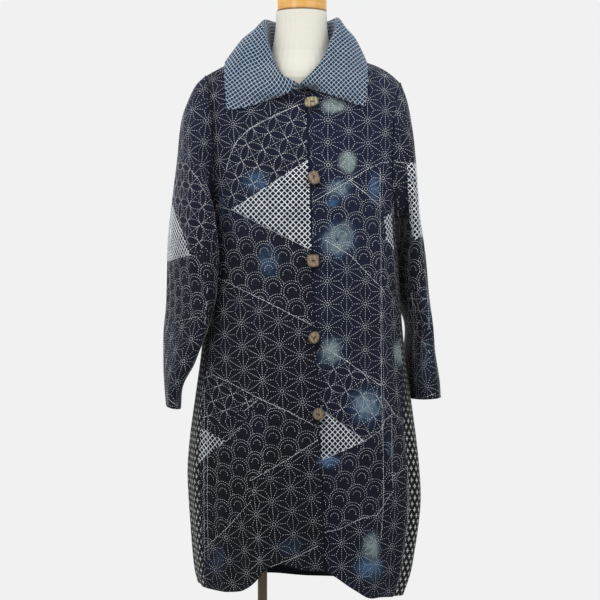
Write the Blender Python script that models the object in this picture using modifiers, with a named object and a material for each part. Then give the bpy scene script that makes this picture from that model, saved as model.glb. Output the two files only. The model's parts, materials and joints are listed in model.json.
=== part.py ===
"""Sashiko coat on a limbless dress form, in metres, +Z up, the coat's front facing -Y.

The coat is cut as two fronts, a back, two side panels, two sleeves and a turned-down collar. Its
body is one surface, worked out from tables of widths, depths and heights, and every panel is a
stretch of that surface with a wall of cloth behind it, so that the seams meet with an even gap.
The wearer's right front laps over the left one and closes with five cord loops and buttons.
"""

import math

import bmesh
import bpy
import numpy as np

# Cloth walls and the gaps between pieces
CLOTH = 0.002
COLLAR_CLOTH = 0.0026
SEAM_GAP = 0.0003
COLLAR_SEAM_GAP = 0.0008
LAYER_GAP = 0.0012

# Levels of the coat body
HEM_LEVEL = 0.450
ARMPIT_LEVEL = 1.142
CHEST_LEVEL = 1.200
SHOULDER_LEVEL = 1.450

# How square the body's rings and the shoulder's roll are: 2 is an ellipse
BODY_SQUARENESS = 2.4
FRONT_ROLL_SQUARENESS = 2.2
BACK_ROLL_SQUARENESS = 3.2

# Half widths and depths of the body: height, wearer's right, wearer's left, front depth, back depth
BODY = (
    (0.430, 0.189, 0.188, 0.146, 0.136),
    (0.473, 0.201, 0.203, 0.152, 0.143),
    (0.515, 0.206, 0.211, 0.156, 0.148),
    (0.566, 0.210, 0.219, 0.159, 0.151),
    (0.608, 0.213, 0.223, 0.161, 0.152),
    (0.665, 0.216, 0.221, 0.160, 0.150),
    (0.724, 0.213, 0.215, 0.155, 0.145),
    (0.794, 0.205, 0.205, 0.148, 0.135),
    (0.876, 0.194, 0.194, 0.142, 0.127),
    (0.960, 0.186, 0.186, 0.137, 0.120),
    (1.050, 0.180, 0.181, 0.132, 0.115),
    (1.142, 0.177, 0.178, 0.128, 0.112),
    (1.200, 0.189, 0.189, 0.126, 0.111),
    (1.270, 0.200, 0.200, 0.125, 0.110),
    (1.450, 0.203, 0.203, 0.124, 0.108),
)

# Height of the hem round the body: degrees from centre front (plus is the wearer's left), height
HEM = (
    (-180, 0.442),
    (-140, 0.448),
    (-90, 0.451),
    (-60, 0.450),
    (-42, 0.448),
    (-30, 0.456),
    (-24, 0.470),
    (-19, 0.492),
    (0, 0.489),
    (14, 0.484),
    (26, 0.456),
    (34, 0.440),
    (45, 0.437),
    (90, 0.430),
    (140, 0.436),
    (180, 0.442),
)

# Shoulder line: distance from the centre, height on the wearer's right, on the wearer's left
SHOULDER = (
    (0.000, 1.4540, 1.4540),
    (0.066, 1.4520, 1.4500),
    (0.100, 1.4440, 1.4400),
    (0.145, 1.4295, 1.4250),
    (0.165, 1.4200, 1.4130),
    (0.184, 1.4090, 1.3960),
    (0.200, 1.3980, 1.3800),
)
NECK_HALF_WIDTH = 0.066
NECK_CENTRE_HEIGHT = 1.500
FRONT_NECK_DROP = 0.081
BACK_NECK_DROP = 0.016
# Corners of the neckline: degrees round it from the centre front, and from the centre back
FRONT_NECK_CORNERS = (90, 71, 53, 36)
BACK_NECK_CORNERS = (90, 66, 44, 22, 0)

# Armhole edge above the armpit: height, distance from the centre
ARMHOLE = (
    (1.142, 0.1690),
    (1.200, 0.1660),
    (1.270, 0.1665),
    (1.345, 0.1720),
    (1.400, 0.1830),
)
ARMHOLE_TOP = 1.402
ARMHOLE_BLEND_TOP = 1.240
ARMHOLE_BLEND = 0.100
# Side seams below the armpit: height, share of the half width, in front and behind
SIDE_SEAM = (
    (0.430, 0.900, 0.880),
    (0.565, 0.880, 0.870),
    (0.690, 0.875, 0.865),
    (0.830, 0.905, 0.885),
    (1.000, 0.930, 0.910),
    (1.142, 0.952, 0.930),
)
# Edge of the lapped front: height, distance from the centre, plus is the wearer's left
FRONT_EDGE = (
    (0.440, 0.0400),
    (0.512, 0.0381),
    (0.621, 0.0345),
    (0.777, 0.0281),
    (0.939, 0.0200),
    (1.055, 0.0154),
    (1.209, 0.0109),
    (1.349, 0.0064),
    (1.460, 0.0030),
)
UNDERLAP = 0.020
UNDERLAP_FLAT = 0.008
UNDERLAP_RISE = 0.020

# Largest folds of the body: degrees from centre front at the hem and at the top, lowest and
# highest point, how far the fold stands out (minus is a hollow), half width in degrees
BODY_FOLDS = (
    (0, 0, 0.40, 0.74, -0.021, 17),
    (-25, -22, 0.40, 0.80, 0.011, 8),
    (33, 27, 0.40, 0.68, 0.009, 11),
    (41, 47, 0.50, 1.17, 0.007, 7),
    (-62, -56, 0.40, 1.00, 0.006, 10),
    (70, 62, 0.40, 0.98, 0.005, 9),
    (118, 124, 0.46, 1.12, 0.006, 9),
    (150, 157, 0.40, 1.16, 0.008, 10),
    (178, 180, 0.40, 0.82, -0.010, 13),
    (-163, -158, 0.40, 1.06, 0.009, 11),
    (-128, -134, 0.44, 0.94, 0.006, 9),
)
# How steeply a fold falls off sideways, fades out at its top and, if above the hem, starts
FOLD_FALL_OFF = 1.4
FOLD_FADE = 1.6
FOLD_START = 5

# Sections of a sleeve, from the armhole to the cuff: outer x and z, inner x and z, half depth,
# degrees that the front edge turns towards the body, how far its middle lies to the front
SLEEVE_RIGHT = (
    (0.184, 1.409, 0.178, 1.142, 0.078, 0, 0.004),
    (0.206, 1.384, 0.184, 1.146, 0.082, 3, 0.008),
    (0.226, 1.330, 0.187, 1.139, 0.085, 9, 0.016),
    (0.237, 1.262, 0.184, 1.116, 0.087, 16, 0.026),
    (0.244, 1.190, 0.179, 1.080, 0.088, 22, 0.036),
    (0.252, 1.120, 0.176, 1.045, 0.088, 25, 0.042),
    (0.257, 1.050, 0.175, 1.004, 0.087, 26, 0.044),
    (0.259, 0.985, 0.174, 0.960, 0.086, 26, 0.044),
    (0.263, 0.926, 0.184, 0.914, 0.084, 24, 0.040),
    (0.264, 0.874, 0.203, 0.866, 0.080, 15, 0.032),
    (0.262, 0.830, 0.226, 0.824, 0.075, 7, 0.026),
    (0.257, 0.786, 0.232, 0.780, 0.070, 3, 0.022),
)
SLEEVE_LEFT = (
    (0.184, 1.396, 0.178, 1.142, 0.078, 0, -0.004),
    (0.197, 1.358, 0.184, 1.146, 0.082, -1, -0.008),
    (0.205, 1.304, 0.189, 1.139, 0.086, -4, -0.014),
    (0.213, 1.238, 0.190, 1.114, 0.088, -9, -0.022),
    (0.219, 1.164, 0.186, 1.078, 0.089, -13, -0.030),
    (0.230, 1.094, 0.180, 1.040, 0.088, -15, -0.035),
    (0.238, 1.020, 0.184, 0.990, 0.086, -15, -0.035),
    (0.246, 0.950, 0.203, 0.936, 0.083, -12, -0.028),
    (0.251, 0.888, 0.199, 0.878, 0.081, -11, -0.022),
    (0.255, 0.840, 0.200, 0.832, 0.078, -11, -0.018),
    (0.2585, 0.802, 0.205, 0.796, 0.074, -10, -0.016),
)
SLEEVE_BLEND = 3.0
LEAST_THICKNESS = 0.010
# Folds along a sleeve: degrees round it from the top over the front, first and last section, rise
SLEEVE_FOLDS = (
    (62, 1.5, 8.0, 0.0045, 16),
    (118, 3.0, 9.5, -0.004, 15),
    (250, 2.0, 8.5, 0.005, 18),
    (300, 3.5, 9.0, -0.0035, 14),
)

# Collar, from the centre back to the front end: share of the way, degrees round the neckline
# from the front, then x, y and z of the roll and of the leaf's outer edge
COLLAR_RIGHT = (
    (0.00, 180, 0.000, 0.070, 1.520, 0.000, 0.120, 1.430),
    (0.25, 136, 0.052, 0.052, 1.520, 0.094, 0.092, 1.432),
    (0.45, 103, 0.073, 0.014, 1.517, 0.138, 0.034, 1.440),
    (0.60, 80, 0.077, -0.016, 1.508, 0.147, -0.016, 1.438),
    (0.75, 56, 0.069, -0.045, 1.472, 0.147, -0.058, 1.408),
    (0.88, 31, 0.045, -0.078, 1.412, 0.145, -0.078, 1.378),
    (1.00, 6, 0.012, -0.101, 1.388, 0.141, -0.092, 1.349),
)
COLLAR_LEFT = (
    (0.00, 180, 0.000, 0.070, 1.520, 0.000, 0.120, 1.430),
    (0.25, 136, 0.048, 0.052, 1.522, 0.084, 0.090, 1.432),
    (0.45, 103, 0.066, 0.014, 1.521, 0.112, 0.034, 1.440),
    (0.60, 80, 0.067, -0.016, 1.513, 0.119, -0.016, 1.440),
    (0.75, 56, 0.056, -0.046, 1.480, 0.121, -0.058, 1.410),
    (0.88, 31, 0.034, -0.078, 1.428, 0.119, -0.080, 1.380),
    (1.00, 6, 0.006, -0.104, 1.386, 0.116, -0.094, 1.352),
)
ROLL_RADIUS = 0.0055
LEAF_CLEARANCE = 0.0045
# The roll's two sides under its crest, as shares of its radius
ROLL_INNER_DROP = 1.3
ROLL_INNER_REACH = 0.8
ROLL_OUTER_DROP = 1.1
ROLL_OUTER_REACH = 1.2
# The leaf: where it starts past the roll, then share of its way down and how far it bulges there
LEAF_START = 0.012
LEAF_SHAPE = (
    (0.34, 0.0060),
    (0.70, 0.0042),
)

# Buttons on the lapped edge: x and z
BUTTONS = (
    (0.0157, 1.3485),
    (0.0194, 1.2084),
    (0.0191, 1.0554),
    (0.0209, 0.9150),
    (0.0272, 0.7761),
)
BUTTON_RADIUS = 0.0135
BUTTON_THICKNESS = 0.0050
BUTTON_CORNERS = 5
BUTTON_WAVE = 0.055
BUTTON_HEIGHT_SHARE = 1.06
BUTTON_TURN = 0.7
BUTTON_ROUNDING = 0.0016
BUTTON_SEGMENTS = 20
CORD_GAP = 0.0006
LOOP_CORD = 0.0022
LOOP_RADIUS = 0.0092
LOOP_ROOT = 0.0070
LOOP_REACH = 150
LOOP_POINTS = 13

# Dress form: height, half width, front depth, back depth
FORM = (
    (0.780, 0.146, 0.098, 0.104),
    (0.860, 0.162, 0.106, 0.112),
    (0.950, 0.154, 0.100, 0.104),
    (1.060, 0.128, 0.088, 0.084),
    (1.150, 0.140, 0.100, 0.088),
    (1.220, 0.154, 0.110, 0.094),
    (1.300, 0.162, 0.108, 0.096),
    (1.450, 0.168, 0.102, 0.093),
)
FORM_SQUARENESS = 2.15
FORM_BOTTOM = 0.780
FORM_CENTRE = -0.003
FORM_SHOULDER_GAP = 0.0012
FORM_NECK_DIP = 0.009
FORM_DIP_REACH = 0.098
FORM_DIP_WIDTH = 0.032
# Neck of the form, turned: height, radius
NECK = (
    (1.360, 0.0600),
    (1.390, 0.0770),
    (1.412, 0.0730),
    (1.430, 0.0655),
    (1.446, 0.0585),
    (1.462, 0.0552),
    (1.480, 0.0520),
    (1.500, 0.0492),
    (1.530, 0.0485),
)
CAP_RADIUS = 0.0480
CAP_HEIGHT = 0.034
CAP_ROUNDING = 0.012
CAP_CROWN = 0.002
EDGE_BREAK = 0.001
POLE_RADIUS = 0.009
POLE_X = -0.077
BASE_RADIUS = 0.180
BASE_HEIGHT = 0.014
BASE_ROUNDING = 0.006
BASE_X = -0.020

# Numbers of spans that the walls are made with
ROWS_BELOW_ARMPIT = 12
ROWS_OVER_SHOULDER = 8
SIDE_SPANS = 4
SHOULDER_SPANS = 7
SLEEVE_RINGS = 16
COLLAR_SPANS = 38
FORM_COLUMNS = 32
TURNED_SEGMENTS = 32
FINE_STEP = 0.00001
SLOPE_STEP = 0.0001
SMOOTH_ANGLE = math.radians(50)


def clear_scene():
    for item in list(bpy.data.objects):
        bpy.data.objects.remove(item, do_unlink=True)


def column(table, index):
    return np.array([row[index] for row in table], float)


def smooth(at, stations, values):
    """A line through the stations of a table, a cubic piece between each two, level past its ends."""
    slopes = np.gradient(values, stations)
    at = np.clip(at, stations[0], stations[-1])
    k = np.clip(np.searchsorted(stations, at) - 1, 0, len(stations) - 2)
    run = stations[k + 1] - stations[k]
    t = (at - stations[k]) / run
    start = (1 + 2 * t) * (1 - t) ** 2 * values[k] + t * (1 - t) ** 2 * run * slopes[k]
    end = t**2 * (3 - 2 * t) * values[k + 1] - t**2 * (1 - t) * run * slopes[k + 1]
    return start + end


def read(table, index, at):
    """The value of one column of a table where its first column is at."""
    return smooth(at, column(table, 0), column(table, index))


def ease(t):
    t = np.clip(t, 0, 1)
    return t * t * (3 - 2 * t)


def squircle(angle, squareness):
    """The cosine-like and sine-like shares of a rounded square of radius 1."""
    c, s = np.cos(angle), np.sin(angle)
    size = (np.abs(c) ** squareness + np.abs(s) ** squareness) ** (-1 / squareness)
    return c * size, s * size


def squircle_angle(share, squareness):
    """The angle at which the sine-like share has the given size."""
    share = np.clip(share, -1, 1)
    other = (1 - np.abs(share) ** squareness) ** (1 / squareness)
    return np.arctan2(share, other)


def unit(vectors):
    return vectors / np.maximum(np.linalg.norm(vectors, axis=-1, keepdims=True), 1e-12)


def by_side(x, table, at):
    """A value from the wearer's right column where x is below 0 and from the left one elsewhere."""
    return np.where(x < 0, read(table, 1, at), read(table, 2, at))


def fold_rise(angle, height):
    """How far the body's folds stand out at an angle and a height: each is a soft ridge or hollow."""
    degrees = np.degrees(angle)
    total = np.zeros(np.broadcast(angle, height).shape)
    for at_hem, at_top, low, high, rise, half_width in BODY_FOLDS:
        way = np.clip((height - low) / (high - low), 0, 1)
        centre = at_hem + (at_top - at_hem) * way
        off = (degrees - centre + 180) % 360 - 180
        across = np.exp(-FOLD_FALL_OFF * (off / half_width) ** 2)
        starts = ease(way * FOLD_START) if low > HEM_LEVEL else 1
        total = total + rise * across * ease((1 - way) * FOLD_FADE) * starts
    return total


def roll_squareness(in_front):
    return np.where(in_front, FRONT_ROLL_SQUARENESS, BACK_ROLL_SQUARENESS)


def body(angle, rise):
    """A point of the coat body's outer face.

    angle goes round from the centre front, plus to the wearer's left. rise goes from 0 at the hem
    to 1 at chest level, and on to 2 on the shoulder line, where front and back meet.
    """
    angle, rise = np.broadcast_arrays((angle + np.pi) % (2 * np.pi) - np.pi, rise)
    side = np.where(angle < 0, -1.0, 1.0)
    forward, across = squircle(np.abs(angle), BODY_SQUARENESS)
    flat, up = squircle(np.clip(rise - 1, 0, 1) * np.pi / 2, roll_squareness(forward > 0))
    hem = read(HEM, 1, np.degrees(angle))
    low = hem + np.minimum(rise, 1) * (CHEST_LEVEL - hem)
    high = low
    for _ in range(3):
        x = side * across * by_side(side, BODY, high)
        top = by_side(x, SHOULDER, np.abs(x))
        high = low + (top - low) * np.where(rise > 1, up, 0)
    depth = np.where(forward > 0, read(BODY, 3, high), read(BODY, 4, high))
    y = -depth * forward * flat
    out = fold_rise(angle, high)
    return np.stack([x + out * np.sin(angle), y - out * np.cos(angle), high], axis=-1)


def body_normal(angle, rise):
    """The outward direction of the body's face, from its slopes both ways."""
    top = np.minimum(rise + SLOPE_STEP, 2)
    low = top - 2 * SLOPE_STEP
    along = body(angle + SLOPE_STEP, rise) - body(angle - SLOPE_STEP, rise)
    upward = body(angle, top) - body(angle, low)
    return unit(np.cross(along, upward))


def level(rise, behind=False):
    """The usual height of a row of the body, from which its seam lines are read."""
    low = HEM_LEVEL + np.minimum(rise, 1) * (CHEST_LEVEL - HEM_LEVEL)
    _, up = squircle(np.clip(rise - 1, 0, 1) * np.pi / 2, roll_squareness(not behind))
    return np.where(rise > 1, CHEST_LEVEL + (ARMHOLE_TOP - CHEST_LEVEL) * up, low)


def angle_of(x, rise):
    """The angle in front at which the body's face lies x from the centre."""
    width = by_side(x, BODY, level(rise))
    return squircle_angle(x / width, BODY_SQUARENESS)


def outer_angle(rise, side, behind):
    """The angle of a front's or the back's outer edge: the side seam, then the armhole."""
    z = level(rise, behind)
    width = read(BODY, 1 if side < 0 else 2, z)
    seam = read(SIDE_SEAM, 2 if behind else 1, z) * width
    seam_at_armpit = read(SIDE_SEAM, 2 if behind else 1, ARMPIT_LEVEL)
    seam_at_armpit = seam_at_armpit * read(BODY, 1 if side < 0 else 2, ARMPIT_LEVEL)
    blend = ease((ARMHOLE_BLEND_TOP - z) / ARMHOLE_BLEND)
    hole = read(ARMHOLE, 1, z) + (seam_at_armpit - ARMHOLE[0][1]) * blend
    x = np.where(z > ARMPIT_LEVEL + FINE_STEP, hole, seam)
    angle = squircle_angle(x / width, BODY_SQUARENESS)
    return side * (np.pi - angle if behind else angle)


def rise_at(height, angle):
    """How far up the shoulder's roll a height lies, on the column at an angle."""
    top = body(angle, 2.0)[..., 2]
    share = (height - CHEST_LEVEL) / (top - CHEST_LEVEL)
    turned_to = (np.asarray(angle) + np.pi) % (2 * np.pi) - np.pi
    squareness = roll_squareness(np.abs(turned_to) < np.pi / 2)
    return 1 + squircle_angle(share, squareness) * 2 / np.pi


def neck_rise(x, angle, behind):
    """Where a column ends at the top: on the neckline inside the neck's width, else on the shoulder."""
    drop = BACK_NECK_DROP if behind else FRONT_NECK_DROP
    share = np.clip(np.abs(x) / NECK_HALF_WIDTH, 0, 1)
    fall = drop * np.sqrt(1 - share**2)
    top = body(angle, 2.0)[..., 2]
    return np.where(share < 1, rise_at(top - fall - SEAM_GAP, angle), 2.0)


def rows():
    """The rise of each row of the walls, with one row at the armpit and one at the chest."""
    armpit = (ARMPIT_LEVEL - HEM_LEVEL) / (CHEST_LEVEL - HEM_LEVEL)
    below = np.linspace(0, armpit, ROWS_BELOW_ARMPIT + 1)
    over = np.linspace(1, 2, ROWS_OVER_SHOULDER + 1)
    return np.concatenate([below, over])


def between(lines, spans):
    """Columns of angles between neighbouring lines, each pair parted into its number of spans."""
    columns = [lines[0]]
    for start, end, count in zip(lines[:-1], lines[1:], spans):
        columns += [start + (end - start) * k / count for k in range(1, count + 1)]
    return np.stack(columns, axis=1)


def gap_angle(angle, rise):
    """Half a seam's gap, as an angle."""
    chord = body(angle + SLOPE_STEP, rise) - body(angle - SLOPE_STEP, rise)
    return SEAM_GAP * SLOPE_STEP / np.linalg.norm(chord, axis=-1)


def panel_rises(angles, behind):
    """The rise of each point of a panel: the rows, drawn down to the neckline where it is cut."""
    rises = np.repeat(rows()[:, None], angles.shape[1], axis=1)
    x = body(angles[-1], 2.0)[:, 0]
    ends = neck_rise(x, angles[-1], behind)
    over = rises > 1
    rises = np.where(over, 1 + (rises - 1) * (ends[None, :] - 1), rises)
    return rises


def shoulder_gap(points, behind):
    """Parts front and back along the shoulder line by half a seam's gap each."""
    points[..., 1] += (1 if behind else -1) * SEAM_GAP / 2
    return points


def panel(angles, behind, sink=None):
    """The outer and inner points of a front or the back."""
    rises = panel_rises(angles, behind)
    points = body(angles, rises)
    normals = body_normal(angles, rises)
    on_shoulder = rises > 2 - 1e-6
    normals[on_shoulder] = unit(normals[on_shoulder] * np.array([1.0, 0.0, 1.0]))
    if sink is not None:
        points = points - normals * sink[..., None]
    points = shoulder_gap(points, behind)
    return points, points - normals * CLOTH


def neck_columns(side, corners):
    """The columns that end at corners of the neckline, as angles from the centre."""
    width = by_side(side, BODY, SHOULDER_LEVEL)
    columns = []
    for degrees in corners:
        x = NECK_HALF_WIDTH * math.sin(math.radians(degrees))
        angle = side * squircle_angle(x / width, BODY_SQUARENESS)
        columns.append(np.full(len(rows()), angle))
    return columns


def front_right():
    """The wearer's right front, which laps over the other as far as the front edge."""
    r = rows()
    edge = angle_of(read(FRONT_EDGE, 1, level(r)), r)
    seam = outer_angle(r, -1, False)
    seam = seam + gap_angle(seam, r)
    neck = neck_columns(-1, (*FRONT_NECK_CORNERS, 18, 0))
    angles = between([seam, *neck, edge], [SHOULDER_SPANS, 1, 1, 1, 1, 1, 2])
    return panel(angles, False)


def front_left():
    """The wearer's left front, which sinks under the other by a wall and a little air."""
    r = rows()
    edge = read(FRONT_EDGE, 1, level(r))
    under = angle_of(-np.full(len(r), UNDERLAP), r)
    centre = np.zeros(len(r))
    lap = angle_of(edge, r)
    flat = angle_of(edge + UNDERLAP_FLAT, r)
    risen = angle_of(edge + UNDERLAP_FLAT + UNDERLAP_RISE, r)
    seam = outer_angle(r, 1, False)
    seam = seam - gap_angle(seam, r)
    neck = neck_columns(1, FRONT_NECK_CORNERS)[::-1]
    shares = [(line[-1] - risen[-1]) / (seam[-1] - risen[-1]) for line in neck]
    neck = [risen + (seam - risen) * share for share in shares]
    lines = [under, centre, lap, flat, risen, *neck, seam]
    angles = between(lines, [2, 2, 1, 1, 1, 1, 1, 1, SHOULDER_SPANS])
    sink = np.zeros(angles.shape)
    sink[:, :6] = CLOTH + LAYER_GAP
    return panel(angles, False, sink)


def back():
    """The back, in one piece from armhole to armhole."""
    r = rows()
    left = outer_angle(r, 1, True)
    right = outer_angle(r, -1, True) + 2 * np.pi
    left = left + gap_angle(left, r)
    right = right - gap_angle(right, r)
    neck = [np.pi - line for line in neck_columns(1, BACK_NECK_CORNERS)]
    neck += [np.pi - line for line in neck_columns(-1, BACK_NECK_CORNERS[-2::-1])]
    spans = [SHOULDER_SPANS, *[1] * (len(neck) - 1), SHOULDER_SPANS]
    angles = between([left, *neck, right], spans)
    return panel(angles, True)


def side_panel(side):
    """The dotted panel between a front and the back, from the hem to the armpit."""
    r = rows()[: ROWS_BELOW_ARMPIT + 1]
    front = outer_angle(r, side, False)
    behind = outer_angle(r, side, True)
    front = front + side * gap_angle(front, r)
    behind = behind - side * gap_angle(behind, r)
    angles = between([front, behind], [SIDE_SPANS])
    rises = np.repeat(r[:, None], angles.shape[1], axis=1)
    points = body(angles, rises)
    return points, points - body_normal(angles, rises) * CLOTH


def armhole(side):
    """The edge that a sleeve is sewn to, from the shoulder down the front, under and up the back."""
    r = rows()
    upper = r[ROWS_BELOW_ARMPIT:]
    front = body(outer_angle(upper, side, False), upper)
    behind = body(outer_angle(upper, side, True), upper)
    armpit = r[ROWS_BELOW_ARMPIT]
    start, end = outer_angle(armpit, side, False), outer_angle(armpit, side, True)
    under_angles = start + (end - start) * np.arange(1, SIDE_SPANS) / SIDE_SPANS
    under = body(under_angles, armpit)
    return np.concatenate([front[::-1], under, behind[:-1]])


def armhole_angles():
    """The angle round the sleeve of each point of the armhole: the top is 0, the front is 90."""
    down = np.linspace(0, 125, ROWS_OVER_SHOULDER + 2)
    under = np.linspace(125, 235, SIDE_SPANS + 1)[1:-1]
    up = np.linspace(235, 360, ROWS_OVER_SHOULDER + 2)[:-1]
    return np.radians(np.concatenate([down, under, up]))


def sleeve_ring(table, side, section, angle):
    """Points of one ring of a sleeve: an oval, tilted as the sleeve falls and turned to the front."""
    at = np.arange(len(table), dtype=float)
    outer_x, outer_z, inner_x, inner_z, depth, turn, forward = (
        smooth(section, at, column(table, k)) for k in range(7)
    )
    turn = np.radians(turn)
    run = np.stack([outer_x - inner_x, outer_z - inner_z], axis=-1)
    half = np.linalg.norm(run, axis=-1) / 2
    lean = run / (2 * half[..., None])
    seen = np.maximum(half**2 - (depth * np.sin(turn) * lean[..., 0]) ** 2, LEAST_THICKNESS**2)
    thick = np.sqrt(seen) / np.cos(turn * lean[..., 0])
    c, s = np.cos(angle), np.sin(angle)
    out = thick * c
    fore = depth * s
    across = out * lean[..., 0]
    x = (outer_x + inner_x) / 2 + across * np.cos(turn) - fore * np.sin(turn)
    y = -forward - fore * np.cos(turn) - across * np.sin(turn)
    z = (outer_z + inner_z) / 2 + out * lean[..., 1]
    return np.stack([side * x, y, z], axis=-1)


def sleeve_folds(section, angle):
    degrees = np.degrees(angle) % 360
    total = np.zeros(np.broadcast(section, angle).shape)
    for centre, first, last, rise, half_width in SLEEVE_FOLDS:
        way = np.clip((section - first) / (last - first), 0, 1)
        off = (degrees - centre + 180) % 360 - 180
        across = np.exp(-FOLD_FALL_OFF * (off / half_width) ** 2)
        total = total + rise * across * np.sin(np.pi * way) ** 2
    return total


def tube_normals(points, side):
    """Outward directions of a tube's face, whose columns wrap round."""
    round_it = np.roll(points, -1, axis=1) - np.roll(points, 1, axis=1)
    along = np.gradient(points, axis=0)
    return unit(np.cross(along, round_it)) * side


def sleeve(side):
    """A sleeve: the armhole's edge at one end, and past it more and more the plain oval rings."""
    table = SLEEVE_RIGHT if side < 0 else SLEEVE_LEFT
    angle = armhole_angles()[None, :]
    section = np.linspace(0, len(table) - 1, SLEEVE_RINGS + 1)[:, None]
    rings = sleeve_ring(table, side, section + 0 * angle, angle + 0 * section)
    hole = armhole(side)
    share = 1 - ease(section[..., None] / SLEEVE_BLEND)
    points = rings + (hole - rings[0])[None] * share
    normals = tube_normals(points, side)
    points = points + normals * sleeve_folds(section, angle)[..., None]
    normals = tube_normals(points, side)
    tangent = np.roll(hole, -1, axis=0) - np.roll(hole, 1, axis=0)
    away = unit(np.cross(tangent, armhole_normals(side))) * -side
    reach = SEAM_GAP + CLOTH * np.maximum(0, (normals[0] * away).sum(axis=-1))
    points[0] = points[0] + away * reach[:, None]
    return points, points - normals * CLOTH


def armhole_normals(side):
    """The outward directions of the body's face along the armhole."""
    r = rows()
    upper = r[ROWS_BELOW_ARMPIT:]
    front = body_normal(outer_angle(upper, side, False), upper)
    behind = body_normal(outer_angle(upper, side, True), upper)
    armpit = r[ROWS_BELOW_ARMPIT]
    start, end = outer_angle(armpit, side, False), outer_angle(armpit, side, True)
    under_angles = start + (end - start) * np.arange(1, SIDE_SPANS) / SIDE_SPANS
    under = body_normal(under_angles, armpit)
    return np.concatenate([front[::-1], under, behind[:-1]])


def neck_edge(side):
    """One side's neckline as the panels have it: degrees from the front, outer and inner points."""
    front = front_left() if side > 0 else front_right()
    behind = back()
    outer = np.concatenate([front[0][-1], behind[0][-1]])
    inner = np.concatenate([front[1][-1], behind[1][-1]])
    share = side * outer[:, 0] / NECK_HALF_WIDTH
    turn = np.degrees(np.arcsin(np.clip(share, -1, 1)))
    turn = np.where(np.arange(len(outer)) < len(front[0][-1]), turn, 180 - turn)
    inside = (share < 1.001) & (share > -0.001)
    order = np.argsort(turn[inside], kind="stable")
    return turn[inside][order], outer[inside][order], inner[inside][order]


def foot_of_collar(degrees, side, stand):
    """The collar's lower edge, set off from the neckline so that its wall clears the panels' edge."""
    turn, outer, inner = neck_edge(side)
    face = np.stack([np.interp(degrees, turn, outer[:, k]) for k in range(3)], axis=-1)
    reverse = np.stack([np.interp(degrees, turn, inner[:, k]) for k in range(3)], axis=-1)
    seam = (face + reverse) / 2
    along = unit(np.gradient(seam, axis=0))
    away = unit(np.cross(along, face - reverse))
    opening = np.array([0.0, 0.0, NECK_CENTRE_HEIGHT]) - seam
    away = away * np.sign(np.sum(away * opening, axis=-1, keepdims=True))
    facing = unit(np.cross(along, stand - seam))
    lean = np.abs(np.sum(facing * away, axis=-1, keepdims=True))
    return seam + away * (COLLAR_SEAM_GAP + COLLAR_CLOTH * lean)


def front_depth(x, z):
    """How far in front the coat's face lies at x and z, with no folds: 0 above the shoulder."""
    width = by_side(x, BODY, z)
    forward = (1 - np.clip(np.abs(x) / width, 0, 1) ** BODY_SQUARENESS) ** (1 / BODY_SQUARENESS)
    top = by_side(x, SHOULDER, np.abs(x))
    share = np.clip((z - CHEST_LEVEL) / (top - CHEST_LEVEL), 0, 1)
    flat = (1 - share**FRONT_ROLL_SQUARENESS) ** (1 / FRONT_ROLL_SQUARENESS)
    return read(BODY, 3, z) * forward * flat


def collar_section(seam, roll, edge):
    """Points across the collar: up the stand, over the roll and down the leaf to its edge."""
    leaf = unit(edge - roll)
    away = unit((edge - roll) * np.array([1.0, 1.0, 0.0]))
    up = np.array([0.0, 0.0, 1.0])
    inner = roll + ROLL_RADIUS * (-ROLL_INNER_DROP * up - ROLL_INNER_REACH * away)
    outer = roll + ROLL_RADIUS * (-ROLL_OUTER_DROP * up + ROLL_OUTER_REACH * away)
    side = unit(np.cross(leaf, np.cross(away, leaf)))
    sheet = [seam, (seam + inner) / 2, inner, roll, outer]
    start = outer + leaf * LEAF_START
    sheet.append(start)
    for share, bulge in LEAF_SHAPE:
        sheet.append(start + (edge - start) * share + side * bulge)
    return [*sheet, edge]


def collar_half(table, side, share):
    """One half of the collar, from the centre back to its front end."""
    at = column(table, 0)
    roll = np.stack([smooth(share, at, column(table, k)) for k in (2, 3, 4)], axis=-1)
    edge = np.stack([smooth(share, at, column(table, k)) for k in (5, 6, 7)], axis=-1)
    roll[..., 0] *= side
    edge[..., 0] *= side
    seam = foot_of_collar(smooth(share, at, column(table, 1)), side, roll)
    across = np.stack(collar_section(seam, roll, edge), axis=0)
    leaf = across[4:]
    least = front_depth(leaf[..., 0], leaf[..., 2]) + LEAF_CLEARANCE + COLLAR_CLOTH
    in_front = leaf[..., 1] < 0.02
    leaf[..., 1] = np.where(in_front, -np.maximum(-leaf[..., 1], least), leaf[..., 1])
    return across


def collar():
    """The turned-down collar in one piece: stand, roll and leaf."""
    count = COLLAR_SPANS // 2
    share = np.linspace(0, 1, count + 1)
    right = collar_half(COLLAR_RIGHT, -1, share)[:, ::-1]
    left = collar_half(COLLAR_LEFT, 1, share)[:, 1:]
    points = np.concatenate([right, left], axis=1)
    around = np.gradient(points, axis=1)
    across = np.gradient(points, axis=0)
    normals = unit(np.cross(around, across))
    return points, points - normals * COLLAR_CLOTH


def add_object(name, mesh, material, collection):
    item = bpy.data.objects.new(name, mesh)
    mesh.materials.append(material)
    collection.objects.link(item)
    return item


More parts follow.
